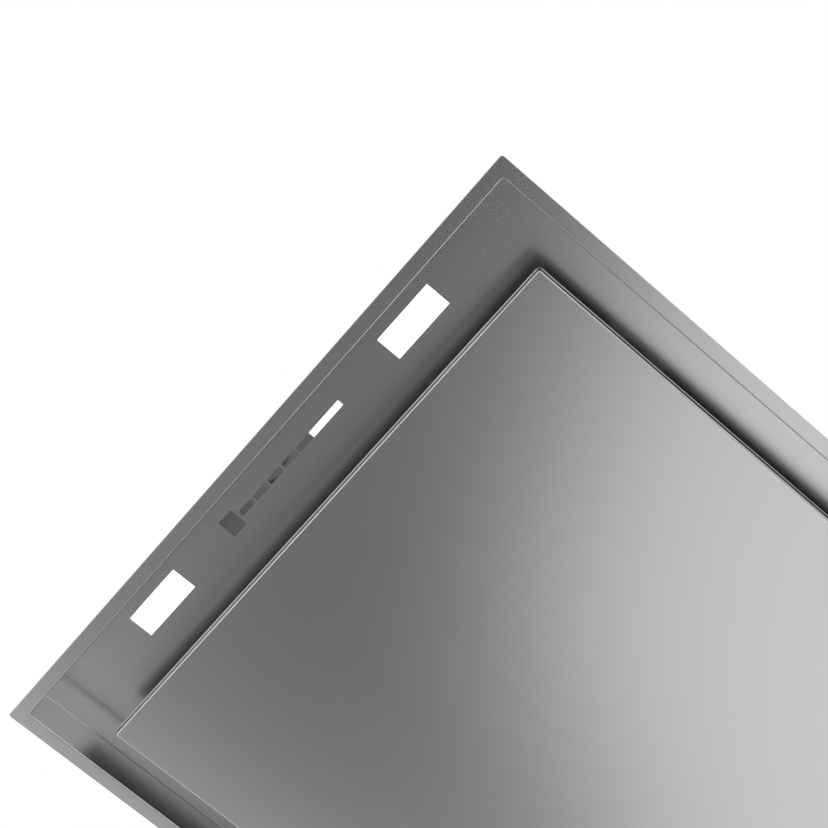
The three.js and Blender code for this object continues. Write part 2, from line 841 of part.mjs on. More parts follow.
function impeller() {
  const lowerRing = turned([
    [bladeInnerRadius, impellerFloor],
    [impellerRadius, impellerFloor],
    [impellerRadius, impellerFloor + impellerSheet],
    [bladeInnerRadius, impellerFloor + impellerSheet],
    [bladeInnerRadius, impellerFloor],
  ]);
  const bore = shaftRadius + shaftFit;
  const cup = turned([
    [bore, cupFloor - hubHeight / 2],
    [hubRadius, cupFloor - hubHeight / 2],
    [hubRadius, cupFloor],
    [cupRadius + impellerSheet, cupFloor],
    [cupRadius + impellerSheet, impellerTop - impellerSheet],
    [impellerRadius, impellerTop - impellerSheet],
    [impellerRadius, impellerTop],
    [cupRadius, impellerTop],
    [cupRadius, cupFloor + impellerSheet],
    [hubRadius, cupFloor + impellerSheet],
    [hubRadius, cupFloor + hubHeight / 2],
    [bore, cupFloor + hubHeight / 2],
    [bore, cupFloor - hubHeight / 2],
  ]);
  const blades = Array.from({ length: bladeCount }, (_, index) => (
    blade().rotate([0, 0, index * 360 / bladeCount])
  ));
  return piece('impeller', join(cup, lowerRing, ...blades), galvanised);
}

function motorAndShaft() {
  const motorFloor = cupFloor + hubHeight / 2 + motorClearance;
  const body = turned([
    [0, motorFloor],
    [motorRadius - motorChamfer, motorFloor],
    [motorRadius, motorFloor + motorChamfer],
    [motorRadius, motorFlangeFloor],
    [motorFlangeRadius, motorFlangeFloor],
    [motorFlangeRadius, motorFlangeFloor + motorFlangeSheet],
    [0, motorFlangeFloor + motorFlangeSheet],
  ]);
  const bearing = bar(
    shaftRadius + shaftFit, [motorFloor - overcut, motorFloor + shaftBearing + seat],
  );
  const shaft = bar(
    shaftRadius, [cupFloor - hubHeight / 2 - shaftTail, motorFloor + shaftBearing],
  );
  return [
    piece('motor', cut(body, bearing), castMetal),
    piece('motor_shaft', shaft, springSteel),
  ];
}

// ---- Outlet collar --------------------------------------------------------------------------

/** The collar about the duct's axis at the collar's seat, with the duct along Z. */
function collar() {
  const bore = ductRadius - collarWall;
  const stopTop = flapFloor - seat;
  const tube = turned([
    [bore, 0],
    [ductRadius, 0],
    [ductRadius, collarLength],
    [bore, collarLength],
    [bore, stopTop],
    [bore - flapStop, stopTop],
    [bore - flapStop, stopTop - flapStopSheet],
    [bore, stopTop - flapStopSheet],
    [bore, 0],
  ]);
  const flange = cut(
    plate(
      rectangle(collarFlangeSize, collarFlangeSize, collarFlangeCorner), [0, collarFlangeSheet],
    ),
    bar((bore + ductRadius) / 2, [-overcut, collarFlangeSheet + overcut], fine),
  );
  const middle = (bore + ductRadius) / 2;
  const rib = block(
    [-middle, middle], about(0, collarRib), [stopTop - flapStopSheet, stopTop],
  );
  const pinHole = barX(flapPinRadius + seat, [-ductRadius - overcut, ductRadius + overcut])
    .translate([0, 0, flapPinSetback]);
  return piece('outlet_collar', cut(join(tube, flange, rib), pinHole), blackPlastic);
}

/** One flap closed against the ledge: the pin lies along X, the flap reaches towards side * Y. */
function flap(name, side) {
  const half = new THREE.Shape();
  half.moveTo(-flapRadius, 0).absarc(0, 0, flapRadius, Math.PI, 0, true);
  const geometry = new THREE.ExtrudeGeometry(half, {
    depth: flapSheet, bevelEnabled: false, curveSegments: coarse,
  });
  geometry.translate(0, 0, flapFloor);
  const cover = cut(solidOf(geometry), block(
    [-ductRadius, ductRadius], about(0, 2 * (flapKnuckle + seat)), [0, collarLength],
  ));
  const knuckles = knucklePlaces.flatMap((place) => {
    const ends = about(place * (knuckleLength + 2 * seat), knuckleLength);
    return [
      barX(flapKnuckle, ends).translate([0, 0, flapPinSetback]),
      block(ends, [0, 2 * flapKnuckle], [flapFloor, flapFloor + flapSheet]),
    ];
  });
  const pinHole = barX(flapPinRadius + seat, [-ductRadius, ductRadius])
    .translate([0, 0, flapPinSetback]);
  const solid = cut(join(cover, ...knuckles), pinHole);
  return piece(name, side > 0 ? solid : solid.rotate([0, 0, 180]), blackPlastic);
}

function outlet() {
  const group = placed(
    collarX, collarY, collarZ,
    collar(),
    flap('flap_left', 1),
    flap('flap_right', -1),
    piece(
      'flap_pin',
      barX(flapPinRadius, [-ductRadius, ductRadius]).translate([0, 0, flapPinSetback]),
      springSteel,
    ),
  );
  group.rotation.set(0, Math.PI / 2, 0);
  return group;
}

// ---- Boxes on the roof ----------------------------------------------------------------------

/** A box without a lid, standing on the roof. */
function openBox({ length, width, height, wall }) {
  return cut(
    block(about(0, length), about(0, width), [0, height]),
    block(about(0, length - 2 * wall), about(0, width - 2 * wall), [wall, height + overcut]),
  );
}

function controls() {
  const { length, width, height } = controlBox;
  const { lip, skirt, sheet } = controlLid;
  const lidLength = length + 2 * lip;
  const lidWidth = width + 2 * lip;
  const lid = cut(
    block(about(0, lidLength), about(0, lidWidth), [height - skirt, height + seat + sheet]),
    block(about(0, lidLength - 2 * sheet), about(0, lidWidth - 2 * sheet), [0, height + seat]),
  );
  return placed(
    boxRowX, 0, roofSeat,
    piece('control_box', openBox(controlBox), galvanised),
    piece('control_lid', lid, galvanised),
  );
}

function driver() {
  const { length, width, height, gap } = driverBox;
  const pitch = length / driverFin.count;
  const grooves = Array.from({ length: driverFin.count - 1 }, (_, index) => block(
    about((index - (driverFin.count - 2) / 2) * pitch, driverFin.width),
    [-width, width],
    [height - driverFin.height, height + overcut],
  ));
  const body = cut(block(about(0, length), about(0, width), [0, height]), ...grooves);
  const y = -(controlBox.width / 2 + gap + width / 2);
  return placed(boxRowX, y, roofSeat, piece('lamp_driver', body, greyPlastic));
}

function terminals() {
  const { length, width, height, wall, gap } = terminalBox;
  const entry = barX(gland.thread + seat, [-length, 0]).translate([0, 0, height / 2]);
  const box = cut(
    block(about(0, length), about(0, width), [0, height]),
    block(about(0, length - 2 * wall), about(0, width - 2 * wall), [wall, height - wall]),
    entry,
  );
  const face = -length / 2 - seat;
  const fitting = join(
    barX(gland.thread, [face, -length / 2 + wall + gland.neck]),
    barX(gland.nut, [face - gland.nutLength, face], hexagon),
    barX(gland.dome, [face - gland.length, face - gland.nutLength + overcut]),
  );
  const bore = barX(gland.bore, [-length, 0]);
  return placed(
    boxRowX, controlBox.width / 2 + gap + width / 2, roofSeat,
    piece('terminal_box', box, greyPlastic),
    piece('cable_gland', cut(fitting, bore).translate([0, 0, height / 2]), blackPlastic),
  );
}

// ---- Hanging brackets -----------------------------------------------------------------------

/** A Z-shaped bracket on the roof: foot towards the middle, ear towards the end. */
function bracket({ name, end, x, y }) {
  const outline = [
    [-bracketFoot / 2, 0],
    [bracketFoot / 2, 0],
    [bracketFoot / 2, bracketSheet],
    [-bracketFoot / 2 + bracketSheet, bracketSheet],
    [-bracketFoot / 2 + bracketSheet, bracketHeight],
    [-bracketFoot / 2 - bracketEar, bracketHeight],
    [-bracketFoot / 2 - bracketEar, bracketHeight - bracketSheet],
    [-bracketFoot / 2, bracketHeight - bracketSheet],
  ];
  const geometry = new THREE.ExtrudeGeometry(
    polygon(outline), { depth: bracketWidth, bevelEnabled: false },
  );
  geometry.rotateX(Math.PI / 2);
  geometry.translate(0, bracketWidth / 2, 0);
  const earX = -bracketFoot / 2 - bracketEar / 2;
  const plain = cut(
    solidOf(geometry),
    bar(boltRadius + boltFit, [-overcut, bracketSheet + overcut]),
    bar(bracketHole, [bracketHeight - bracketSheet - overcut, bracketHeight + overcut])
      .translate([earX, 0, 0]),
  );
  const solid = end > 0 ? plain.rotate([0, 0, 180]) : plain;
  const headFloor = bracketSheet + seat;
  const bolt = join(
    bar(boltHead, [headFloor, headFloor + boltHeadHeight], hexagon),
    bar(boltRadius, [headFloor - boltGrip, headFloor + overcut]),
  );
  return placed(
    x, y, roofSeat,
    piece(`hanging_bracket_${name}`, solid, zinc),
    piece(`bracket_bolt_${name}`, bolt, zinc),
  );
}

// ---- The hood -------------------------------------------------------------------------------

const hood = new THREE.Group();
hood.add(
  trimTray(),
  panelSkin(),
  panelBack(),
  placed(-hingeX, hingeY, hingeZ, ...hinge('near')),
  placed(hingeX, hingeY, hingeZ, ...hinge('far')),
  placed(-latchX, latchY, 0, ...latch('near')),
  placed(latchX, latchY, 0, ...latch('far')),
  crossbar(),
  ...filter('near', -1),
  ...filter('far', 1),
  ...lampPlaces.map(({ name, x, y }) => placed(x, y, 0, ...lamp(name))),
  indicators(),
  casing(),
  blowerBox(),
  scroll(),
  inletRing(),
  impeller(),
  ...motorAndShaft(),
  outlet(),
  controls(),
  driver(),
  terminals(),
  ...bracketPlaces.map(bracket),
);

export default hood;
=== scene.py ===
"""A ceiling range hood in brushed stainless steel, dressed for a plain studio.

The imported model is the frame. The sheet-metal pieces that the room sees, the filters
and everything above the ceiling are dressed here: folded edges get their bend radius,
sheets their grain, and boxes their pressed beads, rivets and screws. Lengths are
millimetres until a piece is finished, and the object hangs with its flange under the
ceiling at a height of 0, its lamps and fan above, and the room below.
"""

import json
import logging
import math
from collections.abc import Callable, Iterable, Sequence
from dataclasses import dataclass
from enum import Enum

import bmesh
import bpy
from mathutils import Matrix, Vector

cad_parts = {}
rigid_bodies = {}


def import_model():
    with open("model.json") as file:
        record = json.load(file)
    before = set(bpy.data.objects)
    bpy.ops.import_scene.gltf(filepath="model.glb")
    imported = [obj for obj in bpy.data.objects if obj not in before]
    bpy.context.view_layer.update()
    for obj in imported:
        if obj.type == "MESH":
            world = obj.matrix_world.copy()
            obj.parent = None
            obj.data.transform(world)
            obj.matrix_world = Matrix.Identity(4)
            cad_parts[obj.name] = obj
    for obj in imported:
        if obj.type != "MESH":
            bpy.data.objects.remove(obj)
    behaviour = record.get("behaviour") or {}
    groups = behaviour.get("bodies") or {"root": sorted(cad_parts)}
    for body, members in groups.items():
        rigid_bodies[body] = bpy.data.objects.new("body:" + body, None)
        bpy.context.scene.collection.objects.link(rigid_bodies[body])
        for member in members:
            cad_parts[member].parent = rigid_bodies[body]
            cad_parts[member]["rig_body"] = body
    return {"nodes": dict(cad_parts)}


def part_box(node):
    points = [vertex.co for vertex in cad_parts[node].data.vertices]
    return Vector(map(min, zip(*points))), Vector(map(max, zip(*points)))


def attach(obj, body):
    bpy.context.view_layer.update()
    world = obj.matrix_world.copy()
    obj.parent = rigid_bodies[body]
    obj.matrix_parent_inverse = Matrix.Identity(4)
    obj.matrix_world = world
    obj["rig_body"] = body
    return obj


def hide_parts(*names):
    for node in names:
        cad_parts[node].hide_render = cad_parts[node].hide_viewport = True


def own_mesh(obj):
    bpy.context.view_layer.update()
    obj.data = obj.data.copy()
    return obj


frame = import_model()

log = logging.getLogger("range_hood")

MM = 0.001
Colour = tuple[float, float, float]
Triple = tuple[float, float, float]
Span = tuple[float, float]
Outline = Sequence[tuple[float, float]]
Socket = bpy.types.NodeSocket
Mesh = bmesh.types.BMesh
Vert = bmesh.types.BMVert
Edge = bmesh.types.BMEdge
Face = bmesh.types.BMFace

UP = (0, 0, 1)
DOWN = (0, 0, -1)
FAR_WAY = (1, 0, 0)
NEAR_WAY = (-1, 0, 0)


class End(Enum):
    """An end of the hood along X, with its sign."""

    NEAR = -1
    FAR = 1


class Side(Enum):
    """A long side of the hood along Y, with its sign."""

    RIGHT = -1
    LEFT = 1


def extent(node: str) -> tuple[Vector, Vector]:
    """A CAD node's lowest and highest corners, in millimetres."""
    low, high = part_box(node)
    return low / MM, high / MM


def body_of(node: str) -> str:
    """The body that a CAD node rides on."""
    return frame["nodes"][node]["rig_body"]


def row(start: Triple, end: Triple, count: int) -> list[Vector]:
    """Places spread evenly from one to another."""
    first, last = Vector(start), Vector(end)
    return [first.lerp(last, index / (count - 1)) for index in range(count)]


def corners(low: Vector, high: Vector, inset: Span) -> list[Triple]:
    """Four places on top of a box, inset from its corners along X and Y."""
    return [
        (x, y, high.z)
        for x in (low.x + inset[0], high.x - inset[0])
        for y in (low.y + inset[1], high.y - inset[1])
    ]


def around(radius: float, level: float, count: int, start: float) -> list[Triple]:
    """Places spread evenly round Z, from an angle in radians."""
    turns = [start + math.tau / count * index for index in range(count)]
    return [(radius * math.cos(turn), radius * math.sin(turn), level) for turn in turns]


# ---- Materials --------------------------------------------------------------------------


class Board:
    """The node board of one material, with its main shader and its object coordinates."""

    def __init__(self, name: str) -> None:
        """Starts a material.

        Args:
            name: The material's name.
        """
        self.material = bpy.data.materials.new(name)
        self.material.use_nodes = True
        self.nodes = self.material.node_tree.nodes
        self.links = self.material.node_tree.links
        self.shader = self.nodes["Principled BSDF"]
        self.place = self.add("ShaderNodeTexCoord").outputs["Object"]

    def fill(self, socket: Socket, value: object) -> None:
        """Gives an input its value, or links it to another node's output.

        Args:
            socket: The input.
            value: A number, a colour or the other node's output.
        """
        if isinstance(value, Socket):
            self.links.new(value, socket)
        else:
            socket.default_value = value

    def add(self, kind: str, inputs: dict | None = None, **settings: object) -> bpy.types.Node:
        """Puts a node on the board.

        Args:
            kind: The node's Blender type.
            inputs: A number, a colour or another node's output for each input.
            settings: The node's own settings.

        Returns:
            The node.
        """
        node = self.nodes.new(kind)
        for key, value in settings.items():
            setattr(node, key, value)
        for key, value in (inputs or {}).items():
            self.fill(node.inputs[key], value)
        return node

    def set(self, **inputs: object) -> None:
        """Sets or links inputs of the shader, named with _ for each space."""
        for key, value in inputs.items():
            self.fill(self.shader.inputs[key.replace("_", " ")], value)

    def end(self, shader: Socket) -> None:
        """Makes a shader the material's surface."""
        output = next(node for node in self.nodes if node.type == "OUTPUT_MATERIAL")
        self.links.new(shader, output.inputs["Surface"])

    def stretched(self, scale: Triple) -> Socket:
        """Object coordinates, stretched."""
        inputs = {"Vector": self.place, "Scale": scale}
        return self.add("ShaderNodeMapping", inputs).outputs["Vector"]

    def noise(self, scale: float, detail: float = 2, place: Socket | None = None) -> Socket:
        """A noise pattern from 0 to 1, of that many waves to a metre."""
        inputs = {"Vector": place or self.place, "Scale": scale, "Detail": detail}
        return self.add("ShaderNodeTexNoise", inputs).outputs["Fac"]

    def span(self, value: Socket, to: Span, of: Span = (0.3, 0.7)) -> Socket:
        """A pattern's values from one range on another."""
        return self.add("ShaderNodeMapRange", {
            "Value": value, "From Min": of[0], "From Max": of[1],
            "To Min": to[0], "To Max": to[1],
        }).outputs["Result"]

    def tint(self, factor: Socket, dark: Colour, light: Colour) -> Socket:
        """A colour between two others."""
        inputs = {"Factor": factor, 6: (*dark, 1), 7: (*light, 1)}
        return self.add("ShaderNodeMix", inputs, data_type="RGBA").outputs[2]

    def total(self, first: Socket, second: Socket | float, operation: str = "ADD") -> Socket:
        """Two patterns added, multiplied or otherwise joined."""
        node = self.add("ShaderNodeMath", {0: first, 1: second}, operation=operation)
        return node.outputs["Value"]

    def mean(self, first: Socket, second: Socket) -> Socket:
        """The mean of two patterns."""
        return self.total(self.total(first, second), 0.5, "MULTIPLY")

    def vector(self, operation: str, first: Socket, second: Socket | Triple) -> Socket:
        """Two vectors joined by an operation."""
        inputs = {0: first, 1: second}
        return self.add("ShaderNodeVectorMath", inputs, operation=operation).outputs["Vector"]

    def bump(self, height: Socket, depth: float, strength: float = 1) -> None:
        """Raises the surface by a pattern, with 1 at a height in millimetres."""
        inputs = {"Height": height, "Distance": depth * MM, "Strength": strength}
        self.set(Normal=self.add("ShaderNodeBump", inputs).outputs["Normal"])


def scaled(colour: Colour, factor: float) -> Colour:
    """A colour made darker or lighter, with white as its limit."""
    return tuple(min(1.0, value * factor) for value in colour)


@dataclass(frozen=True)
class BrushedSheet:
    """Stainless sheet brushed along X, with fine streaks and faint clouds."""

    slot: str = "stainless"
    colour: Colour = (0.7, 0.7, 0.7)
    roughness: float = 0.27
    uneven: float = 0.004
    streak: float = 0.008
    fine: Triple = (6, 500, 500)
    coarse: Triple = (2.5, 160, 160)

    def material(self) -> bpy.types.Material:
        """The sheet's material."""
        board = Board("brushed_stainless")
        fine = board.noise(1, 1, board.stretched(self.fine))
        coarse = board.noise(1, 2, board.stretched(self.coarse))
        grain = board.mean(fine, coarse)
        board.set(
            Base_Color=board.tint(
                board.span(grain, (0, 1)), scaled(self.colour, 1 - self.streak),
                scaled(self.colour, 1 + self.streak),
            ),
            Roughness=board.span(
                board.mean(grain, board.noise(5)),
                (self.roughness - self.uneven, self.roughness + self.uneven),
            ),
            Metallic=1.0,
        )
        board.bump(fine, 0.0002, 0.3)
        return board.material


@dataclass(frozen=True)
class SpangledSheet:
    """Galvanised sheet, with the flat crystals of its zinc."""

    slot: str = "galvanised"
    colour: Colour = (0.6, 0.61, 0.62)
    roughness: Span = (0.31, 0.47)
    crystals: float = 70
    drift: Triple = (0.012, 0.012, 0.012)

    def material(self) -> bpy.types.Material:
        """The sheet's material."""
        board = Board("galvanised_spangle")
        drift = board.add("ShaderNodeTexNoise", {"Vector": board.place, "Scale": 45.0})
        small = board.vector("MULTIPLY", drift.outputs["Color"], self.drift)
        cells = board.add("ShaderNodeTexVoronoi", {
            "Vector": board.vector("ADD", board.place, small), "Scale": self.crystals,
            "Randomness": 1.0,
        })
        shade = board.add("ShaderNodeSeparateColor", {"Color": cells.outputs["Color"]})
        board.set(
            Base_Color=board.tint(
                board.total(shade.outputs[0], board.noise(14, 3), "MULTIPLY"),
                scaled(self.colour, 0.86), scaled(self.colour, 1.16),
            ),
            Roughness=board.span(shade.outputs[1], self.roughness, (0, 1)),
            Metallic=1.0,
        )
        board.bump(board.total(shade.outputs[2], board.noise(600)), 0.02, 0.4)
        return board.material


@dataclass(frozen=True)
class Grained:
    """A surface with a fine grain and faint clouds."""

    slot: str
    name: str
    colour: Colour
    roughness: float

    def grained(
        self, grain: Callable[[Board], Socket], clouds: tuple[float, Span], rough: Span,
        metallic: float, depth: float,
    ) -> bpy.types.Material:
        """The material.

        Args:
            grain: Makes the grain's pattern.
            clouds: The clouds' scale, and the factors for their darkest and lightest tone.
            rough: How far the roughness falls and rises.
            metallic: 1 for metal.
            depth: The grain's depth.

        Returns:
            The material.
        """
        board = Board(self.name)
        pattern = grain(board)
        scale, tones = clouds
        cloud = board.noise(scale, 3)
        board.set(
            Base_Color=board.tint(
                board.span(cloud, (0, 1)), *(scaled(self.colour, tone) for tone in tones)
            ),
            Roughness=board.span(
                board.mean(pattern, cloud),
                (self.roughness - rough[0], self.roughness + rough[1]),
            ),
            Metallic=metallic,
        )
        board.bump(pattern, depth, 0.5)
        return board.material


@dataclass(frozen=True)
class GrainedMetal(Grained):
    """A plain metal surface: plated, sprung, rolled or cast."""

    grain: Triple
    depth: float

    def material(self) -> bpy.types.Material:
        """The metal's material."""
        return self.grained(
            lambda board: board.noise(1, 4, board.stretched(self.grain)),
            (35, (0.92, 1.08)), (0.06, 0.08), 1.0, self.depth,
        )


@dataclass(frozen=True)
class Coating(Grained):
    """Paint or moulded plastic: a colour, a fine orange-peel grain and faint wear."""

    grain: float = 900
    depth: float = 0.02

    def material(self) -> bpy.types.Material:
        """The coating's material."""
        return self.grained(
            lambda board: board.noise(self.grain, 3),
            (22, (0.88, 1.14)), (0.05, 0.06), 0.0, self.depth,
        )


@dataclass(frozen=True)
class KnittedLayers:
    """The filter's inner layers: fine aluminium mesh, with dark painted shade between its
    strands.
    """

    slot: str = "filter_metal"
    strand: Colour = (0.24, 0.24, 0.245)
    gap_shade: Colour = (0.03, 0.03, 0.031)
    pitch: float = 1.7

    def material(self) -> bpy.types.Material:
        """The layers' material."""
        board = Board("filter_layers")
        cells = board.add("ShaderNodeTexVoronoi", {
            "Vector": board.stretched((1, 0.6, 1)), "Scale": 1000 / self.pitch,
        }, feature="DISTANCE_TO_EDGE")
        wire = board.span(cells.outputs["Distance"], (1, 0), (0.06, 0.16))
        board.set(
            # Between the strands the colour is near black: painted shade for the depth of the
            # layers.
            Base_Color=board.tint(wire, self.gap_shade, self.strand),
            Roughness=board.span(board.noise(800), (0.36, 0.48)),
            Metallic=wire,
        )
        board.bump(wire, 0.35, 0.7)
        return board.material


@dataclass(frozen=True)
class LampDiffuser:
    """An opal lens, lit from within, and a little greyer past a place on Y."""

    name: str
    band: float = 1000
    slot: str = "lamp_white"
    colour: Colour = (0.8, 0.8, 0.8)
    dim: float = 0.6

    def material(self) -> bpy.types.Material:
        """The diffuser's material."""
        board = Board(self.name)
        across = board.add("ShaderNodeSeparateXYZ", {"Vector": board.place}).outputs["Y"]
        lit = board.span(across, (1, self.dim), (self.band * MM, (self.band + 1) * MM))
        glow = board.add(
            "ShaderNodeVectorMath", {0: (1, 1, 1), "Scale": lit}, operation="SCALE"
        )
        texture = board.noise(1500)
        board.set(
            Base_Color=(*self.colour, 1),
            Roughness=board.span(texture, (0.42, 0.5)),
            Emission_Color=glow.outputs["Vector"],
            Emission_Strength=1.0,
        )
        board.bump(texture, 0.01, 0.4)
        return board.material


class Finishes:
    """Every finish of the hood, each made once."""

    steel = BrushedSheet()
    galvanised = SpangledSheet()
    layers = KnittedLayers()
    # Dark powder coat of the back plate; on the panel skin's upward faces the same dark is
    # painted shade.
    paint = Coating("dark_paint", "dark_powder_coat", (0.045, 0.045, 0.047), 0.5, 700, 0.03)
    zinc = GrainedMetal("zinc", "zinc_plating", (0.68, 0.68, 0.65), 0.32, (300, 300, 300), 0.01)
    black_zinc = GrainedMetal(
        "zinc", "black_passivated_zinc", (0.1, 0.1, 0.105), 0.42, (300, 300, 300), 0.01
    )
    # Dark steel on the flange's bend and on the panel's folded sides: painted shade.
    fold_shade = GrainedMetal(
        "stainless", "unpolished_fold", (0.16, 0.16, 0.165), 0.4, (12, 12, 900), 0.005
    )
    spring = GrainedMetal(
        "spring_steel", "spring_steel", (0.5, 0.51, 0.53), 0.24, (60, 900, 900), 0.008
    )
    aluminium = GrainedMetal(
        "filter_metal", "filter_aluminium", (0.72, 0.72, 0.73), 0.34, (12, 700, 700), 0.012
    )
    cast = GrainedMetal(
        "cast_metal", "die_cast_alloy", (0.5, 0.505, 0.515), 0.5, (650, 650, 650), 0.05
    )
    black = Coating("black_plastic", "black_moulding", (0.028, 0.028, 0.03), 0.45)
    grey = Coating("grey_plastic", "grey_moulding", (0.33, 0.335, 0.345), 0.5)
    dim = Coating("dim_lens", "dim_lens", (0.17, 0.17, 0.172), 0.3, 1200, 0.004)
    signal = Coating("signal_glass", "signal_glass", (0.19, 0.19, 0.193), 0.22, 1200, 0.003)

    def __init__(self) -> None:
        """Starts with nothing made."""
        self.made: dict[object, bpy.types.Material] = {}

    def of(self, finish: object) -> bpy.types.Material:
        """The material of a finish, made at its first use."""
        if finish not in self.made:
            self.made[finish] = finish.material()
        return self.made[finish]


finishes = Finishes()


# ---- Fixings and pieces -----------------------------------------------------------------


def stored(mesh: Mesh, name: str) -> bpy.types.Mesh:
    """Moves a finished mesh out of bmesh.

    Args:
        mesh: The mesh, which is freed.
        name: The stored mesh's name.

    Returns:
        The stored mesh.
    """
    data = bpy.data.meshes.new(name)
    mesh.to_mesh(data)
    mesh.free()
    return data


def verts_of(geometry: Iterable[object]) -> list[Vert]:
    """The points among the pieces of geometry that an operator made."""
    return [item for item in geometry if isinstance(item, Vert)]


def turned(outline: Outline, sides: int) -> Mesh:
    """Spins an outline about Z.

    Args:
        outline: Its radii and heights, from the axis back to the axis, or round a ring.
        sides: The faces round it.

    Returns:
        The closed mesh.
    """
    mesh = bmesh.new()
    line = [
        bmesh.ops.create_vert(mesh, co=(radius, 0, height))["vert"][0]
        for radius, height in outline
    ]
    rest = line[1:] if outline[0][0] == 0 else line[1:] + line[:1]
    edges = [mesh.edges.new(pair) for pair in zip(line, rest)]
    bmesh.ops.spin(
        mesh, geom=line + edges, cent=(0, 0, 0), axis=UP, angle=math.tau, steps=sides,
        use_merge=True,
    )
    bmesh.ops.remove_doubles(mesh, verts=mesh.verts, dist=0.0005)
    bmesh.ops.recalc_face_normals(mesh, faces=mesh.faces)
    return mesh


class Fixings:
    """Small fixings of a radius of 1, each made once and stamped where it is needed."""

    rivet_outline: Outline = (
        (0, 0.42), (0.3, 0.42), (0.36, 0.58), (0.62, 0.52), (0.88, 0.3), (1, 0), (1, -0.1),
        (0, -0.1),
    )
    screw_flat = 0.72
    screw_height = 0.5
    cross_arm = 0.46
    cross_width = 0.13
    recess_steps: Outline = ((0.75, -0.3),)
    shoulder_steps: Outline = ((1.28, -0.12), (1.09, -0.22), (1, -0.26))

    def __init__(self) -> None:
        """Starts with nothing made."""
        self.made: dict[str, bpy.types.Mesh] = {}

    def of(self, name: str, make: Callable[[], Mesh]) -> bpy.types.Mesh:
        """A pattern, made at its first use."""
        if name not in self.made:
            self.made[name] = stored(make(), name)
        return self.made[name]

    def rivet(self) -> bpy.types.Mesh:
        """A blind rivet's head, with the dimple of its mandrel."""
        return self.of("rivet", lambda: turned(self.rivet_outline, 14))

    def screw(self) -> bpy.types.Mesh:
        """A pan-head screw's head, with its cross recess."""
        return self.of("screw", self.screw_head)

    def screw_head(self) -> Mesh:
        """A round face with a cross in it, the cross sunk and the rim stepped down."""
        mesh, height = bmesh.new(), self.screw_height
        circle = bmesh.ops.create_circle(mesh, segments=16, radius=self.screw_flat)["verts"]
        bmesh.ops.translate(mesh, verts=circle, vec=(0, 0, height))
        rim = list(mesh.edges)
        arm, half = self.cross_arm, self.cross_width
        quarter = ((arm, -half), (arm, half), (half, half))
        line = [
            bmesh.ops.create_vert(
                mesh, co=Matrix.Rotation(turn * math.pi / 2, 4, "Z") @ Vector((x, y, height))
            )["vert"][0]
            for turn in range(4) for x, y in quarter
        ]
        cross = [mesh.edges.new(pair) for pair in zip(line, line[1:] + line[:1])]
        bmesh.ops.triangle_fill(mesh, use_beauty=True, edges=rim + cross)
        for edges, steps in ((cross, self.recess_steps), (rim, self.shoulder_steps)):
            for factor, drop in steps:
                grown = bmesh.ops.extrude_edge_only(mesh, edges=edges)["geom"]
                verts = verts_of(grown)
                edges = [
                    item for item in grown
                    if isinstance(item, Edge) and all(vert in verts for vert in item.verts)
                ]
                bmesh.ops.scale(mesh, verts=verts, vec=(factor, factor, 1))
                bmesh.ops.translate(mesh, verts=verts, vec=(0, 0, drop))
            bmesh.ops.edgeloop_fill(mesh, edges=edges)
        bmesh.ops.recalc_face_normals(mesh, faces=mesh.faces)
        return mesh

    def clear(self) -> None:
        """Removes the patterns once every piece has its own copies."""
        for data in self.made.values():
            bpy.data.meshes.remove(data)
        self.made.clear()


fixings = Fixings()


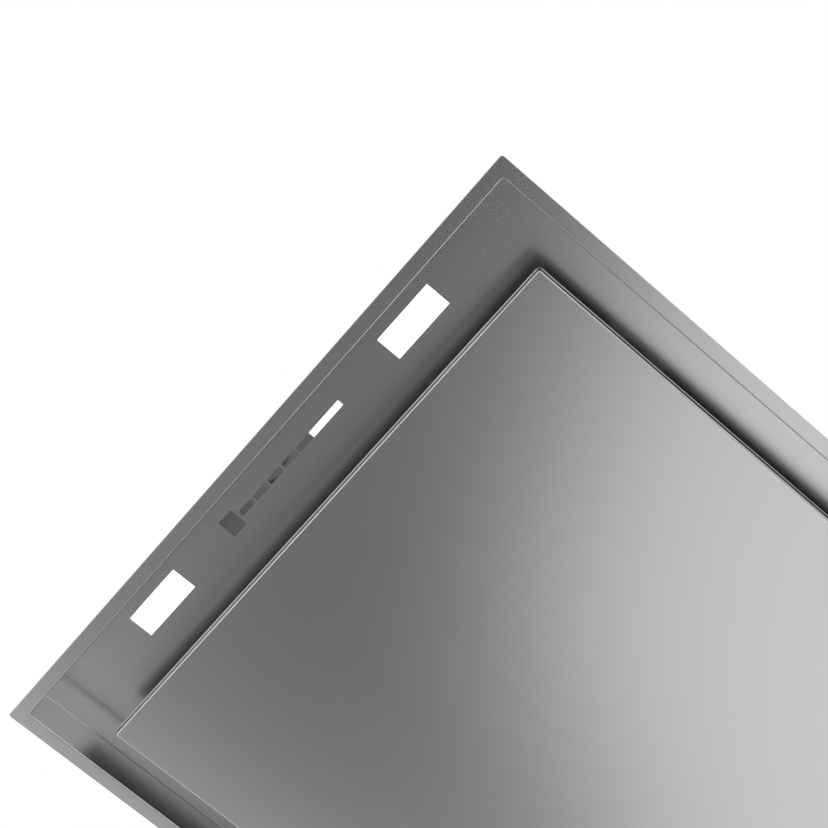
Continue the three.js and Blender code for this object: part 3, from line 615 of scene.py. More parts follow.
class Blank:
    """A mesh in the making, in millimetres, that ends as one finished piece."""

    weld = 0.002
    flat_angle = 0.4
    bead_sunk = 0.3

    def __init__(self, name: str) -> None:
        """Starts an empty mesh.

        Args:
            name: The finished piece's name.
        """
        self.name = name
        self.mesh = bmesh.new()
        self.coats: list[object] = []

    @classmethod
    def copy_of(cls, node: str, name: str) -> "Blank":
        """A merged copy of a CAD node, with its flat faces whole again.

        Args:
            node: The CAD node.
            name: The finished piece's name.

        Returns:
            The copy, in millimetres.
        """
        blank = cls(name)
        mesh = blank.mesh
        mesh.from_mesh(frame["nodes"][node].data)
        bmesh.ops.transform(mesh, matrix=Matrix.Scale(1 / MM, 4), verts=mesh.verts)
        bmesh.ops.remove_doubles(mesh, verts=mesh.verts, dist=cls.weld)
        bmesh.ops.dissolve_limit(
            mesh, angle_limit=math.radians(cls.flat_angle), use_dissolve_boundaries=False,
            verts=mesh.verts, edges=mesh.edges,
        )
        return blank

    def block(self, low: Triple, high: Triple, radius: float, segments: int) -> "Blank":
        """Adds a box with rounded edges.

        Args:
            low: Its lowest corner.
            high: Its highest corner.
            radius: The radius of its edges.
            segments: The faces across one of them.

        Returns:
            The same blank.
        """
        size = [top - bottom for bottom, top in zip(low, high)]
        middle = [(top + bottom) / 2 for bottom, top in zip(low, high)]
        made = bmesh.ops.create_cube(
            self.mesh, size=1, matrix=Matrix.Translation(middle) @ Matrix.Diagonal((*size, 1))
        )
        edges = {edge for vert in made["verts"] for edge in vert.link_edges}
        self.round(edges, radius, segments)
        return self

    def stamp(
        self, pattern: bpy.types.Mesh, places: Iterable[Triple], up: Triple = UP,
        size: float = 1,
    ) -> "Blank":
        """Adds copies of a pattern.

        Args:
            pattern: The mesh to copy, with Z as its height.
            places: Where each copy stands.
            up: The direction of its height.
            size: How many times larger it gets.

        Returns:
            The same blank.
        """
        turn = Vector(up).to_track_quat("Z", "Y").to_matrix().to_4x4()
        for place in places:
            copy = pattern.copy()
            copy.transform(Matrix.Translation(place) @ turn @ Matrix.Scale(size, 4))
            self.mesh.from_mesh(copy)
            bpy.data.meshes.remove(copy)
        return self

    def lathe(self, outline: Outline, place: Triple, up: Triple, sides: int) -> "Blank":
        """Adds a turned shape.

        Args:
            outline: Its radii and heights, as turned() takes them.
            place: Where it stands.
            up: The direction of its height.
            sides: The faces round it.

        Returns:
            The same blank.
        """
        pattern = stored(turned(outline, sides), "pattern")
        self.stamp(pattern, [place], up)
        bpy.data.meshes.remove(pattern)
        return self

    def bead(
        self, start: Triple, end: Triple, up: Triple = UP, width: float = 9,
        height: float = 1.1,
    ) -> "Blank":
        """Adds a pressed bead with round ends, standing on a sheet.

        Args:
            start: One end of the bead, on the sheet.
            end: The other end.
            up: The direction that the bead stands in.
            width: Its width.
            height: How far it stands off the sheet.

        Returns:
            The same blank.
        """
        along = Vector(end) - Vector(start)
        made = bmesh.ops.create_uvsphere(self.mesh, u_segments=16, v_segments=7, radius=1)
        verts = made["verts"]
        reach = along.length / width - 1
        for sign in (-1, 1):
            half = [vert for vert in verts if vert.co.z * sign > 0]
            bmesh.ops.translate(self.mesh, verts=half, vec=(0, 0, sign * reach))
        sunk = [vert for vert in verts if vert.co.y < 0]
        bmesh.ops.scale(self.mesh, verts=sunk, vec=(1, self.bead_sunk, 1))
        across = along.normalized().cross(Vector(up))
        turn = Matrix((-across, Vector(up), along.normalized())).transposed().to_4x4()
        stretch = Matrix.Diagonal((width / 2, height, width / 2, 1))
        middle = Matrix.Translation((Vector(start) + Vector(end)) / 2)
        bmesh.ops.transform(self.mesh, matrix=middle @ turn @ stretch, verts=verts)
        return self

    def web(self, corner: Triple, first: Triple, second: Triple, thickness: float) -> "Blank":
        """Adds a three-cornered web between two faces that meet.

        Args:
            corner: Where the faces meet.
            first: From the corner along one face.
            second: From the corner along the other.
            thickness: The web's thickness.

        Returns:
            The same blank.
        """
        across = Vector(first).cross(Vector(second)).normalized() * thickness
        base = Vector(corner) - across / 2
        verts = [
            bmesh.ops.create_vert(self.mesh, co=base + Vector(leg))["vert"][0]
            for leg in ((0, 0, 0), first, second)
        ]
        face = self.mesh.faces.new(verts)
        moved = verts_of(bmesh.ops.extrude_face_region(self.mesh, geom=[face])["geom"])
        bmesh.ops.translate(self.mesh, verts=moved, vec=across)
        faces = {face for vert in moved + verts for face in vert.link_faces}
        bmesh.ops.recalc_face_normals(self.mesh, faces=list(faces))
        return self

    def ribs(
        self, ends: Span, rows: Iterable[float], level: float, rise: float, reach: float,
        thickness: float,
    ) -> "Blank":
        """Adds webs to a moulding's two ends along X.

        Args:
            ends: The ends' places on X.
            rows: The webs' places on Y.
            level: The height of their widest end.
            rise: How far they run up or down from there.
            reach: How far they stand out.
            thickness: Their thickness.

        Returns:
            The same blank.
        """
        for side, x in zip((-1, 1), ends):
            for y in rows:
                self.web((x, y, level), (side * reach, 0, 0), (0, 0, rise), thickness)
        return self

    def level_faces(self, level: float, sign: int) -> list[Face]:
        """The level faces at a height that look up or down."""
        self.mesh.normal_update()
        return [
            face for face in self.mesh.faces
            if face.normal.z * sign > 0.99
            and abs(face.calc_center_median().z - level) < 0.05
        ]

    def press(
        self, low: Vector, high: Vector, lift: float, slope: float = 2.5,
        faces_up: bool = True,
    ) -> "Blank":
        """Raises or sinks a rectangle in a level face, within a sloping border.

        Args:
            low: The rectangle's lowest corner, at the face's height.
            high: Its highest corner.
            lift: How far it is raised.
            slope: The border's width.
            faces_up: Whether the face looks up.

        Returns:
            The same blank.
        """
        sign = 1 if faces_up else -1
        for axis in (0, 1):
            normal = Vector((1 - axis, axis, 0))
            for place in (low[axis] - slope, low[axis], high[axis], high[axis] + slope):
                flat = self.level_faces(low.z, sign)
                edges = {edge for face in flat for edge in face.edges}
                verts = {vert for face in flat for vert in face.verts}
                bmesh.ops.bisect_plane(
                    self.mesh, geom=[*flat, *edges, *verts], dist=0.001,
                    plane_co=normal * place, plane_no=normal,
                )
        inside = {
            vert for face in self.level_faces(low.z, sign) for vert in face.verts
            if low.x - 0.01 < vert.co.x < high.x + 0.01
            and low.y - 0.01 < vert.co.y < high.y + 0.01
        }
        bmesh.ops.translate(self.mesh, verts=list(inside), vec=(0, 0, lift))
        return self

    def round(
        self, edges: Iterable[Edge], radius: float, segments: int, clamp: bool = True
    ) -> None:
        """Rounds edges, where the radius isn't 0."""
        if radius > 0:
            bmesh.ops.bevel(
                self.mesh, geom=list(edges), offset=radius, offset_type="OFFSET",
                segments=segments, profile=0.5, affect="EDGES", clamp_overlap=clamp,
                material=-1,
            )

    def soften(
        self, radius: float, segments: int = 2, angle: float = 30,
        where: Callable[[Edge], bool] | None = None, clamp: bool = True,
    ) -> "Blank":
        """Rounds every edge that is sharper than an angle and passes a test.

        Args:
            radius: The radius of the rounded edges.
            segments: The faces across one of them.
            angle: The angle from which an edge is sharp.
            where: A test that an edge passes to be rounded.
            clamp: Whether tight places make the radius smaller everywhere.

        Returns:
            The same blank.
        """
        sharp = [
            edge for edge in self.mesh.edges
            if edge.is_manifold and edge.calc_face_angle(0) > math.radians(angle)
            and (where is None or where(edge))
        ]
        self.round(sharp, radius, segments, clamp)
        return self

    def coat(self, finish: object, where: Callable[[Face], bool]) -> "Blank":
        """Gives some faces another finish.

        Args:
            finish: What their surface is.
            where: A test that a face passes to get it.

        Returns:
            The same blank.
        """
        self.coats.append(finish)
        self.mesh.normal_update()
        for face in self.mesh.faces:
            if where(face):
                face.material_index = len(self.coats)
        return self

    def finish(
        self, finish: object, body: str, nodes: Sequence[str] = (), smooth: float = 35
    ) -> bpy.types.Object:
        """Makes the piece and lets it ride on its body.

        Args:
            finish: What its surface is.
            body: The CAD body that it moves with.
            nodes: The CAD nodes that it stands for.
            smooth: The angle up to which its faces are shaded as one surface.

        Returns:
            The finished object.
        """
        bmesh.ops.transform(self.mesh, matrix=Matrix.Scale(MM, 4), verts=self.mesh.verts)
        data = stored(self.mesh, self.name)
        data.shade_smooth()
        data.set_sharp_from_angle(angle=math.radians(smooth))
        for coat in (finish, *self.coats):
            data.materials.append(finishes.of(coat))
        piece = bpy.data.objects.new(self.name, data)
        bpy.context.scene.collection.objects.link(piece)
        shading = piece.modifiers.new("flat_faces_stay_flat", "WEIGHTED_NORMAL")
        shading.keep_sharp, shading.weight = True, 100
        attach(piece, body)
        if nodes:
            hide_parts(*nodes)
        log.info("%s: %d faces, on %s", self.name, len(data.polygons), body)
        return piece


def copied(node: str, radius: float = 0.4, segments: int = 2, angle: float = 30) -> Blank:
    """A softened copy of a CAD node, ready for its details."""
    return Blank.copy_of(node, f"{node}_dressed").soften(radius, segments, angle)


def dress(
    node: str, finish: object, radius: float = 0.4, segments: int = 2, angle: float = 30,
    smooth: float = 35,
) -> bpy.types.Object:
    """Stands a softened copy in for a CAD node.

    Args:
        node: The CAD node.
        finish: What its surface is.
        radius: The radius of its rounded edges.
        segments: The faces across one rounded edge.
        angle: The angle from which an edge is sharp.
        smooth: The angle up to which its faces are shaded as one surface.

    Returns:
        The finished object.
    """
    return copied(node, radius, segments, angle).finish(finish, body_of(node), [node], smooth)


def fasten(
    name: str, pattern: bpy.types.Mesh, places: Iterable[Triple], size: float,
    up: Triple = UP, body: str = "housing",
) -> None:
    """Sets a group of zinc-plated screws or rivets.

    Args:
        name: The group's name.
        pattern: The fixing.
        places: Where each one sits.
        size: The radius of its head.
        up: The direction that its head looks in.
        body: The CAD body that it moves with.
    """
    Blank(name).stamp(pattern, places, up, size).finish(finishes.zinc, body)


# ---- Studio -----------------------------------------------------------------------------


@dataclass(frozen=True)
class SoftLamp:
    """A round soft lamp, which the camera doesn't see."""

    name: str
    place: Triple
    size: float
    power: float
    mirrored: bool = True

    def hang(self, target: Triple) -> None:
        """Hangs the lamp.

        Args:
            target: The place that it shines at.
        """
        data = bpy.data.lights.new(self.name, "AREA")
        data.shape, data.size, data.energy = "DISK", self.size, self.power
        lamp = bpy.data.objects.new(self.name, data)
        turn = (Vector(target) - Vector(self.place)).to_track_quat("-Z", "Y")
        lamp.matrix_world = Matrix.Translation(self.place) @ turn.to_matrix().to_4x4()
        lamp.visible_camera, lamp.visible_glossy = False, self.mirrored
        bpy.context.scene.collection.objects.link(lamp)


@dataclass
class Studio:
    """The room round the hood, in metres: floor, surround, cards, lamps and camera."""

    lens: float = 70.64
    eye: Triple = (-0.5467, -0.3693, -0.9571)
    camera_right: Triple = (0.7590, -0.6484, 0.0582)
    camera_up: Triple = (-0.6308, -0.7104, 0.3122)
    fill: float = 0.45
    floor_height: float = -2.2
    floor_radius: float = 40
    floor_tone: float = 1.04
    floor_share: float = 0.76
    whitening: Span = (4, 15)
    card_lift: float = 0.02
    card_step: float = 0.005
    cards: tuple[tuple[float, Outline], ...] = (
        (0.1, (
            (-0.65, 1.69), (1.86, 1.69), (1.89, 1.5), (0.47, 0.75), (0.08, 0), (0.21, -0.75),
            (-1.32, -1.5), (-1.86, -1.5), (-1.86, -0.75), (-1.26, 0), (-0.44, 0.75),
        )),
        (0.0, ((0.3, -0.62), (3.4, -0.62), (3.4, -2), (0.3, -2))),
    )
    target: Triple = (0, 0, 0.1)
    soft_lamps: tuple[SoftLamp, ...] = (
        SoftLamp("key", (-1.3, -1.5, 1.7), 2.4, 7),
        SoftLamp("side", (1.7, 1.1, 1.4), 1.8, 3),
        SoftLamp("below", (-0.9, -1.2, -1.6), 1.2, 16, mirrored=False),
    )

    def build(self) -> None:
        """Builds the studio."""
        self.camera()
        self.surround()
        self.floor()
        self.dark_cards()
        for lamp in self.soft_lamps:
            lamp.hang(self.target)
        bpy.context.scene.view_settings.view_transform = "Standard"

    def camera(self) -> None:
        """The camera, below the near end's right corner and looking up."""
        data = bpy.data.cameras.new("camera")
        data.lens, data.sensor_width = self.lens, 36
        data.clip_start, data.clip_end = 0.05, 200
        camera = bpy.data.objects.new("camera", data)
        right, up = Vector(self.camera_right), Vector(self.camera_up)
        turn = Matrix((right, up, right.cross(up))).transposed().to_4x4()
        camera.matrix_world = Matrix.Translation(self.eye) @ turn
        bpy.context.scene.collection.objects.link(camera)
        bpy.context.scene.camera = camera

    def seen(self, nodes: bpy.types.Nodes, links: bpy.types.NodeLinks) -> Socket:
        """1 for what the camera sees, itself or in metal or through glass.

        Args:
            nodes: The nodes that this is added to.
            links: Their links.

        Returns:
            The output that gives it.
        """
        path = nodes.new("ShaderNodeLightPath")
        total = path.outputs["Is Camera Ray"]
        for name in ("Is Glossy Ray", "Is Transmission Ray"):
            joined = nodes.new("ShaderNodeMath")
            joined.operation, joined.use_clamp = "ADD", True
            links.new(total, joined.inputs[0])
            links.new(path.outputs[name], joined.inputs[1])
            total = joined.outputs["Value"]
        return total

    def surround(self) -> None:
        """A white surround, dimmer as a light than as a background."""
        world = bpy.data.worlds.new("surround")
        bpy.context.scene.world = world
        world.use_nodes = True
        nodes, links = world.node_tree.nodes, world.node_tree.links
        background = nodes["Background"]
        background.inputs["Color"].default_value = (1, 1, 1, 1)
        strength = nodes.new("ShaderNodeMapRange")
        links.new(self.seen(nodes, links), strength.inputs["Value"])
        strength.inputs["To Min"].default_value = self.fill
        strength.inputs["To Max"].default_value = 1
        links.new(strength.outputs["Result"], background.inputs["Strength"])

    def floor(self) -> None:
        """A pale floor below the hood, white towards its rim."""
        mesh = bmesh.new()
        bmesh.ops.create_circle(
            mesh, cap_ends=True, segments=96, radius=self.floor_radius,
            matrix=Matrix.Translation((0, 0, self.floor_height)),
        )
        board = Board("pale_floor")
        flat = board.vector("MULTIPLY", board.place, (1, 1, 0))
        reach = board.add("ShaderNodeVectorMath", {0: flat}, operation="LENGTH")
        tone = board.span(
            reach.outputs["Value"], (self.floor_tone, 1 / self.floor_share), self.whitening
        )
        glow = board.add("ShaderNodeEmission", {"Color": (1, 1, 1, 1), "Strength": tone})
        board.set(Base_Color=(0.78, 0.78, 0.78, 1), Roughness=0.9, Specular_IOR_Level=0.1)
        share = board.total(self.seen(board.nodes, board.links), self.floor_share, "MULTIPLY")
        mixed = board.add("ShaderNodeMixShader", {
            0: share, 1: board.shader.outputs["BSDF"], 2: glow.outputs["Emission"],
        })
        board.end(mixed.outputs["Shader"])
        self.stand(mesh, "floor", board.material)

    def dark_cards(self) -> None:
        """Dark cards over the floor, that only metal sees, for its long soft reflections."""
        for index, (tone, outline) in enumerate(self.cards):
            name = f"dark_card_{index}"
            board = Board(name)
            glow = board.add("ShaderNodeEmission", {"Color": (1, 1, 1, 1), "Strength": tone})
            board.end(glow.outputs["Emission"])
            mesh = bmesh.new()
            height = self.floor_height + self.card_lift + self.card_step * index
            mesh.faces.new([
                bmesh.ops.create_vert(mesh, co=(x, y, height))["vert"][0] for x, y in outline
            ])
            card = self.stand(mesh, name, board.material)
            card.visible_camera = card.visible_diffuse = False
            card.visible_shadow = card.visible_transmission = False

    def stand(self, mesh: Mesh, name: str, material: bpy.types.Material) -> bpy.types.Object:
        """Puts a mesh in the studio as part of the stage.

        Args:
            mesh: The mesh, in metres.
            name: Its name.
            material: Its material.

        Returns:
            The object.
        """
        data = stored(mesh, name)
        data.materials.append(material)
        item = bpy.data.objects.new(name, data)
        bpy.context.scene.collection.objects.link(item)
        return item


# ---- Trim tray, panel and lamps ---------------------------------------------------------


@dataclass
class TrimTray:
    """The stainless tray that trims the ceiling cut-out: flange, wall and recessed face."""

    bend: float = 1.0
    joint_bend: float = 0.5
    bend_faces: int = 6
    raw_edge: float = 0.35
    rim: float = 2.2
    flange: float = -1.2
    face: float = 30.6
    flange_width: float = 10.1
    corner: float = 5

    def build(self) -> None:
        """Builds the tray."""
        self.reach = extent("trim_tray")[1].xy
        tray = Blank.copy_of("trim_tray", "trim_tray_sheet")
        for level, radius in ((self.flange, self.bend), (self.face, self.joint_bend)):
            tray.soften(
                radius, self.bend_faces, where=lambda edge: self.at_inner_bend(edge, level),
                clamp=False,
            )
        # The bend faces along the flange get the dark steel as a painted shade line.
        tray.coat(finishes.fold_shade, self.at_steep_bend)
        tray.soften(self.raw_edge, where=self.at_raw_edge)
        tray.finish(finishes.steel, "housing", ["trim_tray"], smooth=50)

    def inset(self, vert: Vert) -> float:
        """How far a point lies inside the flange's rim."""
        return min(self.reach.x - abs(vert.co.x), self.reach.y - abs(vert.co.y))

    def at_inner_bend(self, edge: Edge, level: float) -> bool:
        """Whether an edge is where the wall meets the flange or the recessed face."""
        return all(
            abs(self.inset(vert) - self.flange_width) < 0.8 and abs(vert.co.z - level) < 0.05
            for vert in edge.verts
        )

    def at_steep_bend(self, face: Face) -> bool:
        """Whether a face is in the flange's bend, where a dark line of painted shade goes."""
        middle = face.calc_center_median()
        return (
            0.1 < abs(face.normal.z) < 0.85 and face.normal.y > -0.3
            and self.flange < middle.z < self.flange + self.bend
            and self.reach.x - abs(middle.x) > self.corner
            and self.reach.y - abs(middle.y) > self.corner
        )

    def at_raw_edge(self, edge: Edge) -> bool:
        """Whether an edge is on the flange's rim."""
        return all(self.inset(vert) < self.rim and vert.co.z < 0.1 for vert in edge.verts)


@dataclass
class SwingPanel:
    """The flat panel below the intake, folded over at its edge, with its back plate."""

    bend: float = 1.2
    upper_bend: float = 0.8
    hem: Span = (5.4, 6.8)
    hem_reach: float = 0.55
    hem_corner: float = 3.5
    hem_bend: float = 0.65
    rivet: float = 2.2
    rivet_inset: float = 6
    rivet_gap: Span = (230, 330)
    bead_rows: tuple[float, ...] = (-115, 0, 115)
    bead_spans: tuple[Span, ...] = ((-340, -25), (25, 340))

    def build(self) -> None:
        """Builds the panel."""
        self.low, self.high = extent("panel_skin")
        skin = Blank.copy_of("panel_skin", "panel_sheet")
        for level, radius, faces in (
            (self.low.z, self.bend, 4), (self.high.z, self.upper_bend, 3),
        ):
            skin.soften(
                radius, faces, where=lambda edge: self.at_rim(edge, level), clamp=False
            )
        # The skin's upward faces get the dark coat as painted shade, which the recessed face
        # mirrors as a dark band.
        skin.coat(finishes.paint, lambda face: face.normal.z > 0.6)
        # The flat side faces of the fold get the dark steel as painted shade.
        skin.coat(finishes.fold_shade, lambda face: abs(face.normal.z) < 0.2)
        skin.finish(finishes.steel, "panel", ["panel_skin"], smooth=50)
        self.rolled_hem()
        self.back_plate()

    def at_rim(self, edge: Edge, level: float) -> bool:
        """Whether an edge runs round the folded rim at a level."""
        return all(
            min(abs(abs(vert.co.x) - self.high.x), abs(abs(vert.co.y) - self.high.y)) < 0.8
            and abs(vert.co.z - level) < 0.05
            for vert in edge.verts
        )

    def rolled_hem(self) -> None:
        """The rolled hem round the folded rim, a little proud of it."""
        hem = Blank("panel_hem")
        mesh = hem.mesh
        start, end = self.hem
        outline = bmesh.ops.create_grid(mesh, x_segments=1, y_segments=1, size=1)["verts"]
        reach = self.high + Vector((self.hem_reach, self.hem_reach, 0))
        bmesh.ops.scale(mesh, verts=outline, vec=(reach.x, reach.y, 1))
        bmesh.ops.translate(mesh, verts=outline, vec=(0, 0, start))
        bmesh.ops.bevel(
            mesh, geom=outline, offset=self.hem_corner, offset_type="OFFSET", segments=5,
            profile=0.5, affect="VERTICES", material=-1,
        )
        moved = verts_of(bmesh.ops.extrude_face_region(mesh, geom=list(mesh.faces))["geom"])
        bmesh.ops.translate(mesh, verts=moved, vec=(0, 0, end - start))
        bmesh.ops.recalc_face_normals(mesh, faces=mesh.faces)
        mesh.normal_update()
        hem.soften(self.hem_bend, 4, angle=60)
        wide = [face for face in mesh.faces if abs(face.normal.z) > 0.999]
        bmesh.ops.delete(mesh, geom=wide, context="FACES")
        bmesh.ops.bridge_loops(mesh, edges=[edge for edge in mesh.edges if edge.is_boundary])
        bmesh.ops.recalc_face_normals(mesh, faces=mesh.faces)
        hem.finish(finishes.steel, "panel", smooth=60)

    def back_plate(self) -> None:
        """The painted back plate, with its beads and its rivets."""
        high = extent("panel_back")[1]
        plate = copied("panel_back", 0.3)
        for y in self.bead_rows:
            for start, end in self.bead_spans:
                plate.bead((start, y, high.z), (end, y, high.z), width=11, height=1.4)
        plate.finish(finishes.paint, "panel", ["panel_back"])
        x, y = high.x - self.rivet_inset, high.y - self.rivet_inset
        places = []
        for side in (-1, 1):
            places += [
                place for place in row((-x, side * y, high.z), (x, side * y, high.z), 9)
                if not self.rivet_gap[0] < abs(place.x) < self.rivet_gap[1]
            ]
            places += row((side * x, -y, high.z), (side * x, y, high.z), 5)[1:-1]
        fasten("panel_rivets", fixings.rivet(), places, self.rivet, body="panel")


@dataclass
class Lamp:
    """One lamp: an opal lens in the recessed face and the finned housing behind it."""

    end: End
    side: Side
    rim: float = 2
    left_band: float = 7.6
    right_band: float = 0.9
    screw: float = 2.6
    screw_reach: float = 20.1
    screw_level: float = 9

    def build(self) -> None:
        """Builds the lamp."""
        name = f"{self.end.name}_{self.side.name}".lower()
        lens, housing = f"lamp_lens_{name}", f"lamp_housing_{name}"
        band = self.left_band if self.side is Side.LEFT else self.right_band
        opal = LampDiffuser(f"opal_{name}", extent(lens)[1].y - self.rim - band)
        Blank.copy_of(lens, f"opal_lens_{name}").soften(0.25).finish(opal, "housing", [lens])
        low, high = extent(housing)
        dress(housing, finishes.cast)
        middle = (low + high) / 2
        fasten(f"lamp_screws_{name}", fixings.screw(), [
            (middle.x, middle.y + side * self.screw_reach, low.z + self.screw_level)
            for side in (-1, 1)
        ], self.screw)


@dataclass
class Indicators:
    """The row of indicators in the near end's recessed face."""

    web: float = 1.6
    web_rows: tuple[float, ...] = (-48, -24, 0, 24, 48)
    foot: float = 1

    def build(self) -> None:
        """Builds the row."""
        low, high = extent("indicator_carrier")
        carrier = copied("indicator_carrier").ribs(
            (low.x, high.x), self.web_rows, low.z, high.z - low.z - self.foot, self.web,
            self.web,
        )
        carrier.finish(finishes.black, "housing", ["indicator_carrier"])
        lens = Blank.copy_of("lit_indicator", "lit_bar").soften(0.2)
        lens.finish(LampDiffuser("opal_indicator"), "housing", ["lit_indicator"])
        dress("speed_indicators", finishes.dim, 0.2)
        dress("signal_window", finishes.signal, 0.2)


# ---- Hinges, latches and filters --------------------------------------------------------


@dataclass
class Fittings:
    """The hinges and push latches at one end of the panel."""

    end: End
    screw: float = 2.7
    sheet: float = 2
    leaf_screws: Span = (5, 13.5)
    foot_screws: Triple = (-15, 0, 15)
    foot_inset: float = 6
    latch_collar: Outline = (
        (5.4, 0.2), (5.4, -0.9), (5.8, -1.2), (7.2, -1.2), (7.6, -0.8), (7.6, 0.2),
    )
    latch_web: float = 1.8
    strike_screw: float = 2.1
    strike_sunk: float = 0.4
    strike_screws: Span = (-9.8, 9.8)

    def build(self) -> None:
        """Builds the fittings."""
        name = self.end.name.lower()
        self.hinge(name)
        self.latch(name)

    def hinge(self, name: str) -> None:
        """The hinge's bracket, leaf and pin, with their screws.

        Args:
            name: The end's name.
        """
        bracket, leaf = f"hinge_bracket_{name}", f"hinge_leaf_{name}"
        dress(bracket, finishes.black_zinc)
        dress(leaf, finishes.black_zinc, 0.35)
        dress(f"hinge_pin_{name}", finishes.spring, 0.3)
        low, high = extent(leaf)
        middle = (low.x + high.x) / 2
        fasten(
            f"hinge_leaf_screws_{name}", fixings.screw(),
            [(middle, high.y - at, low.z + self.sheet) for at in self.leaf_screws],
            self.screw, body="panel",
        )
        high = extent(bracket)[1]
        fasten(
            f"hinge_foot_screws_{name}", fixings.screw(),
            [(middle + at, high.y - self.foot_inset, high.z - self.sheet)
             for at in self.foot_screws],
            self.screw, DOWN,
        )

    def latch(self, name: str) -> None:
        """The push latch: its housing, plunger and strike plate.

        Args:
            name: The end's name.
        """
        node, strike = f"latch_housing_{name}", f"strike_plate_{name}"
        low, high = extent(node)
        middle = (low + high) / 2
        housing = copied(node, 0.6)
        housing.lathe(self.latch_collar, (middle.x, middle.y, low.z), UP, 32)
        housing.ribs(
            (low.x, high.x), (low.y + 4, middle.y, high.y - 4), high.z, low.z - high.z + 1,
            self.latch_web, 1.4,
        )
        housing.finish(finishes.black, "housing", [node])
        dress(f"latch_plunger_{name}", finishes.grey, 0.6)
        top = extent(strike)[1].z
        copied(strike, 0.3).stamp(
            fixings.screw(),
            [(middle.x + at, middle.y, top - self.strike_sunk) for at in self.strike_screws],
            size=self.strike_screw,
        ).finish(finishes.zinc, "panel", [strike])


@dataclass
class GreaseFilter:
    """One lift-out grease filter with its leaf spring."""

    end: End
    pleats: int = 20
    sheet: float = 1
    strand: float = 2.3
    inner: float = 0.3
    long_diagonal: float = 14
    rivet: float = 2
    rivet_inset: Span = (6, 6)

    def build(self) -> None:
        """Builds the filter."""
        self.name = self.end.name.lower()
        self.body = f"filter_{self.name}"
        node = f"filter_frame_{self.name}"
        dress(node, finishes.aluminium, 0.5)
        fasten(
            f"filter_rivets_{self.name}", fixings.rivet(),
            corners(*extent(node), self.rivet_inset), self.rivet, body=self.body,
        )
        self.mesh()
        dress(f"filter_pull_{self.name}", finishes.spring, 0)
        self.spring()

    def mesh(self) -> None:
        """The pleated mesh: expanded metal over both sides of its fine inner layers."""
        node = f"filter_mesh_{self.name}"
        outer = Blank(f"filter_strands_{self.name}")
        self.pleat(node, outer.mesh)
        inner = Blank(f"filter_layers_{self.name}")
        inner.mesh.free()
        inner.mesh = outer.mesh.copy()
        bmesh.ops.solidify(
            inner.mesh, geom=[*inner.mesh.verts, *inner.mesh.edges, *inner.mesh.faces],
            thickness=self.inner,
        )
        bmesh.ops.recalc_face_normals(inner.mesh, faces=inner.mesh.faces)
        inner.finish(finishes.layers, self.body, [node])
        bmesh.ops.wireframe(
            outer.mesh, faces=outer.mesh.faces, thickness=self.strand, offset=0,
            use_replace=True, use_boundary=True, use_even_offset=False,
        )
        outer.finish(finishes.aluminium, self.body, smooth=30)

    def pleat(self, node: str, mesh: Mesh) -> None:
        """Fills a mesh with diamonds that follow a node's pleats.

        Args:
            node: The CAD node of the pleated mesh.
            mesh: The empty mesh that gets the diamonds.
        """
        low, high = extent(node)
        step = (high.x - low.x) / self.pleats / 2
        middle, reach = (low + high) / 2, (high - low) / 2
        count = 2 * math.ceil(reach.x / step + reach.y / self.long_diagonal)
        bmesh.ops.create_grid(
            mesh, x_segments=count, y_segments=count, size=count / 2 / math.sqrt(2),
            matrix=Matrix.Rotation(math.pi / 4, 4, "Z"),
        )
        bmesh.ops.scale(mesh, verts=mesh.verts, vec=(step, self.long_diagonal, 1))
        for side in (-1, 1):
            for axis in (0, 1):
                normal = Vector((1 - axis, axis, 0)) * side
                bmesh.ops.bisect_plane(
                    mesh, geom=[*mesh.verts, *mesh.edges, *mesh.faces], dist=0.001,
                    plane_co=normal * reach[axis], plane_no=normal, clear_outer=True,
                )
        base, rise = low.z + self.sheet / 2, high.z - low.z - self.sheet
        for vert in mesh.verts:
            turn = (vert.co.x + reach.x) / step
            vert.co.z = base + rise * (1 - abs(turn % 2 - 1))
        bmesh.ops.translate(mesh, verts=mesh.verts, vec=(middle.x, middle.y, 0))

    def spring(self) -> None:
        """The leaf spring between the filter and the tray's stop, on a mesh of its own; nothing
        here flattens it.
        """
        node = f"filter_spring_{self.name}"
        leaf = Blank.copy_of(node, f"leaf_{self.name}").finish(
            finishes.spring, "housing", [node]
        )
        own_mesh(leaf)


# ---- Above the ceiling ------------------------------------------------------------------


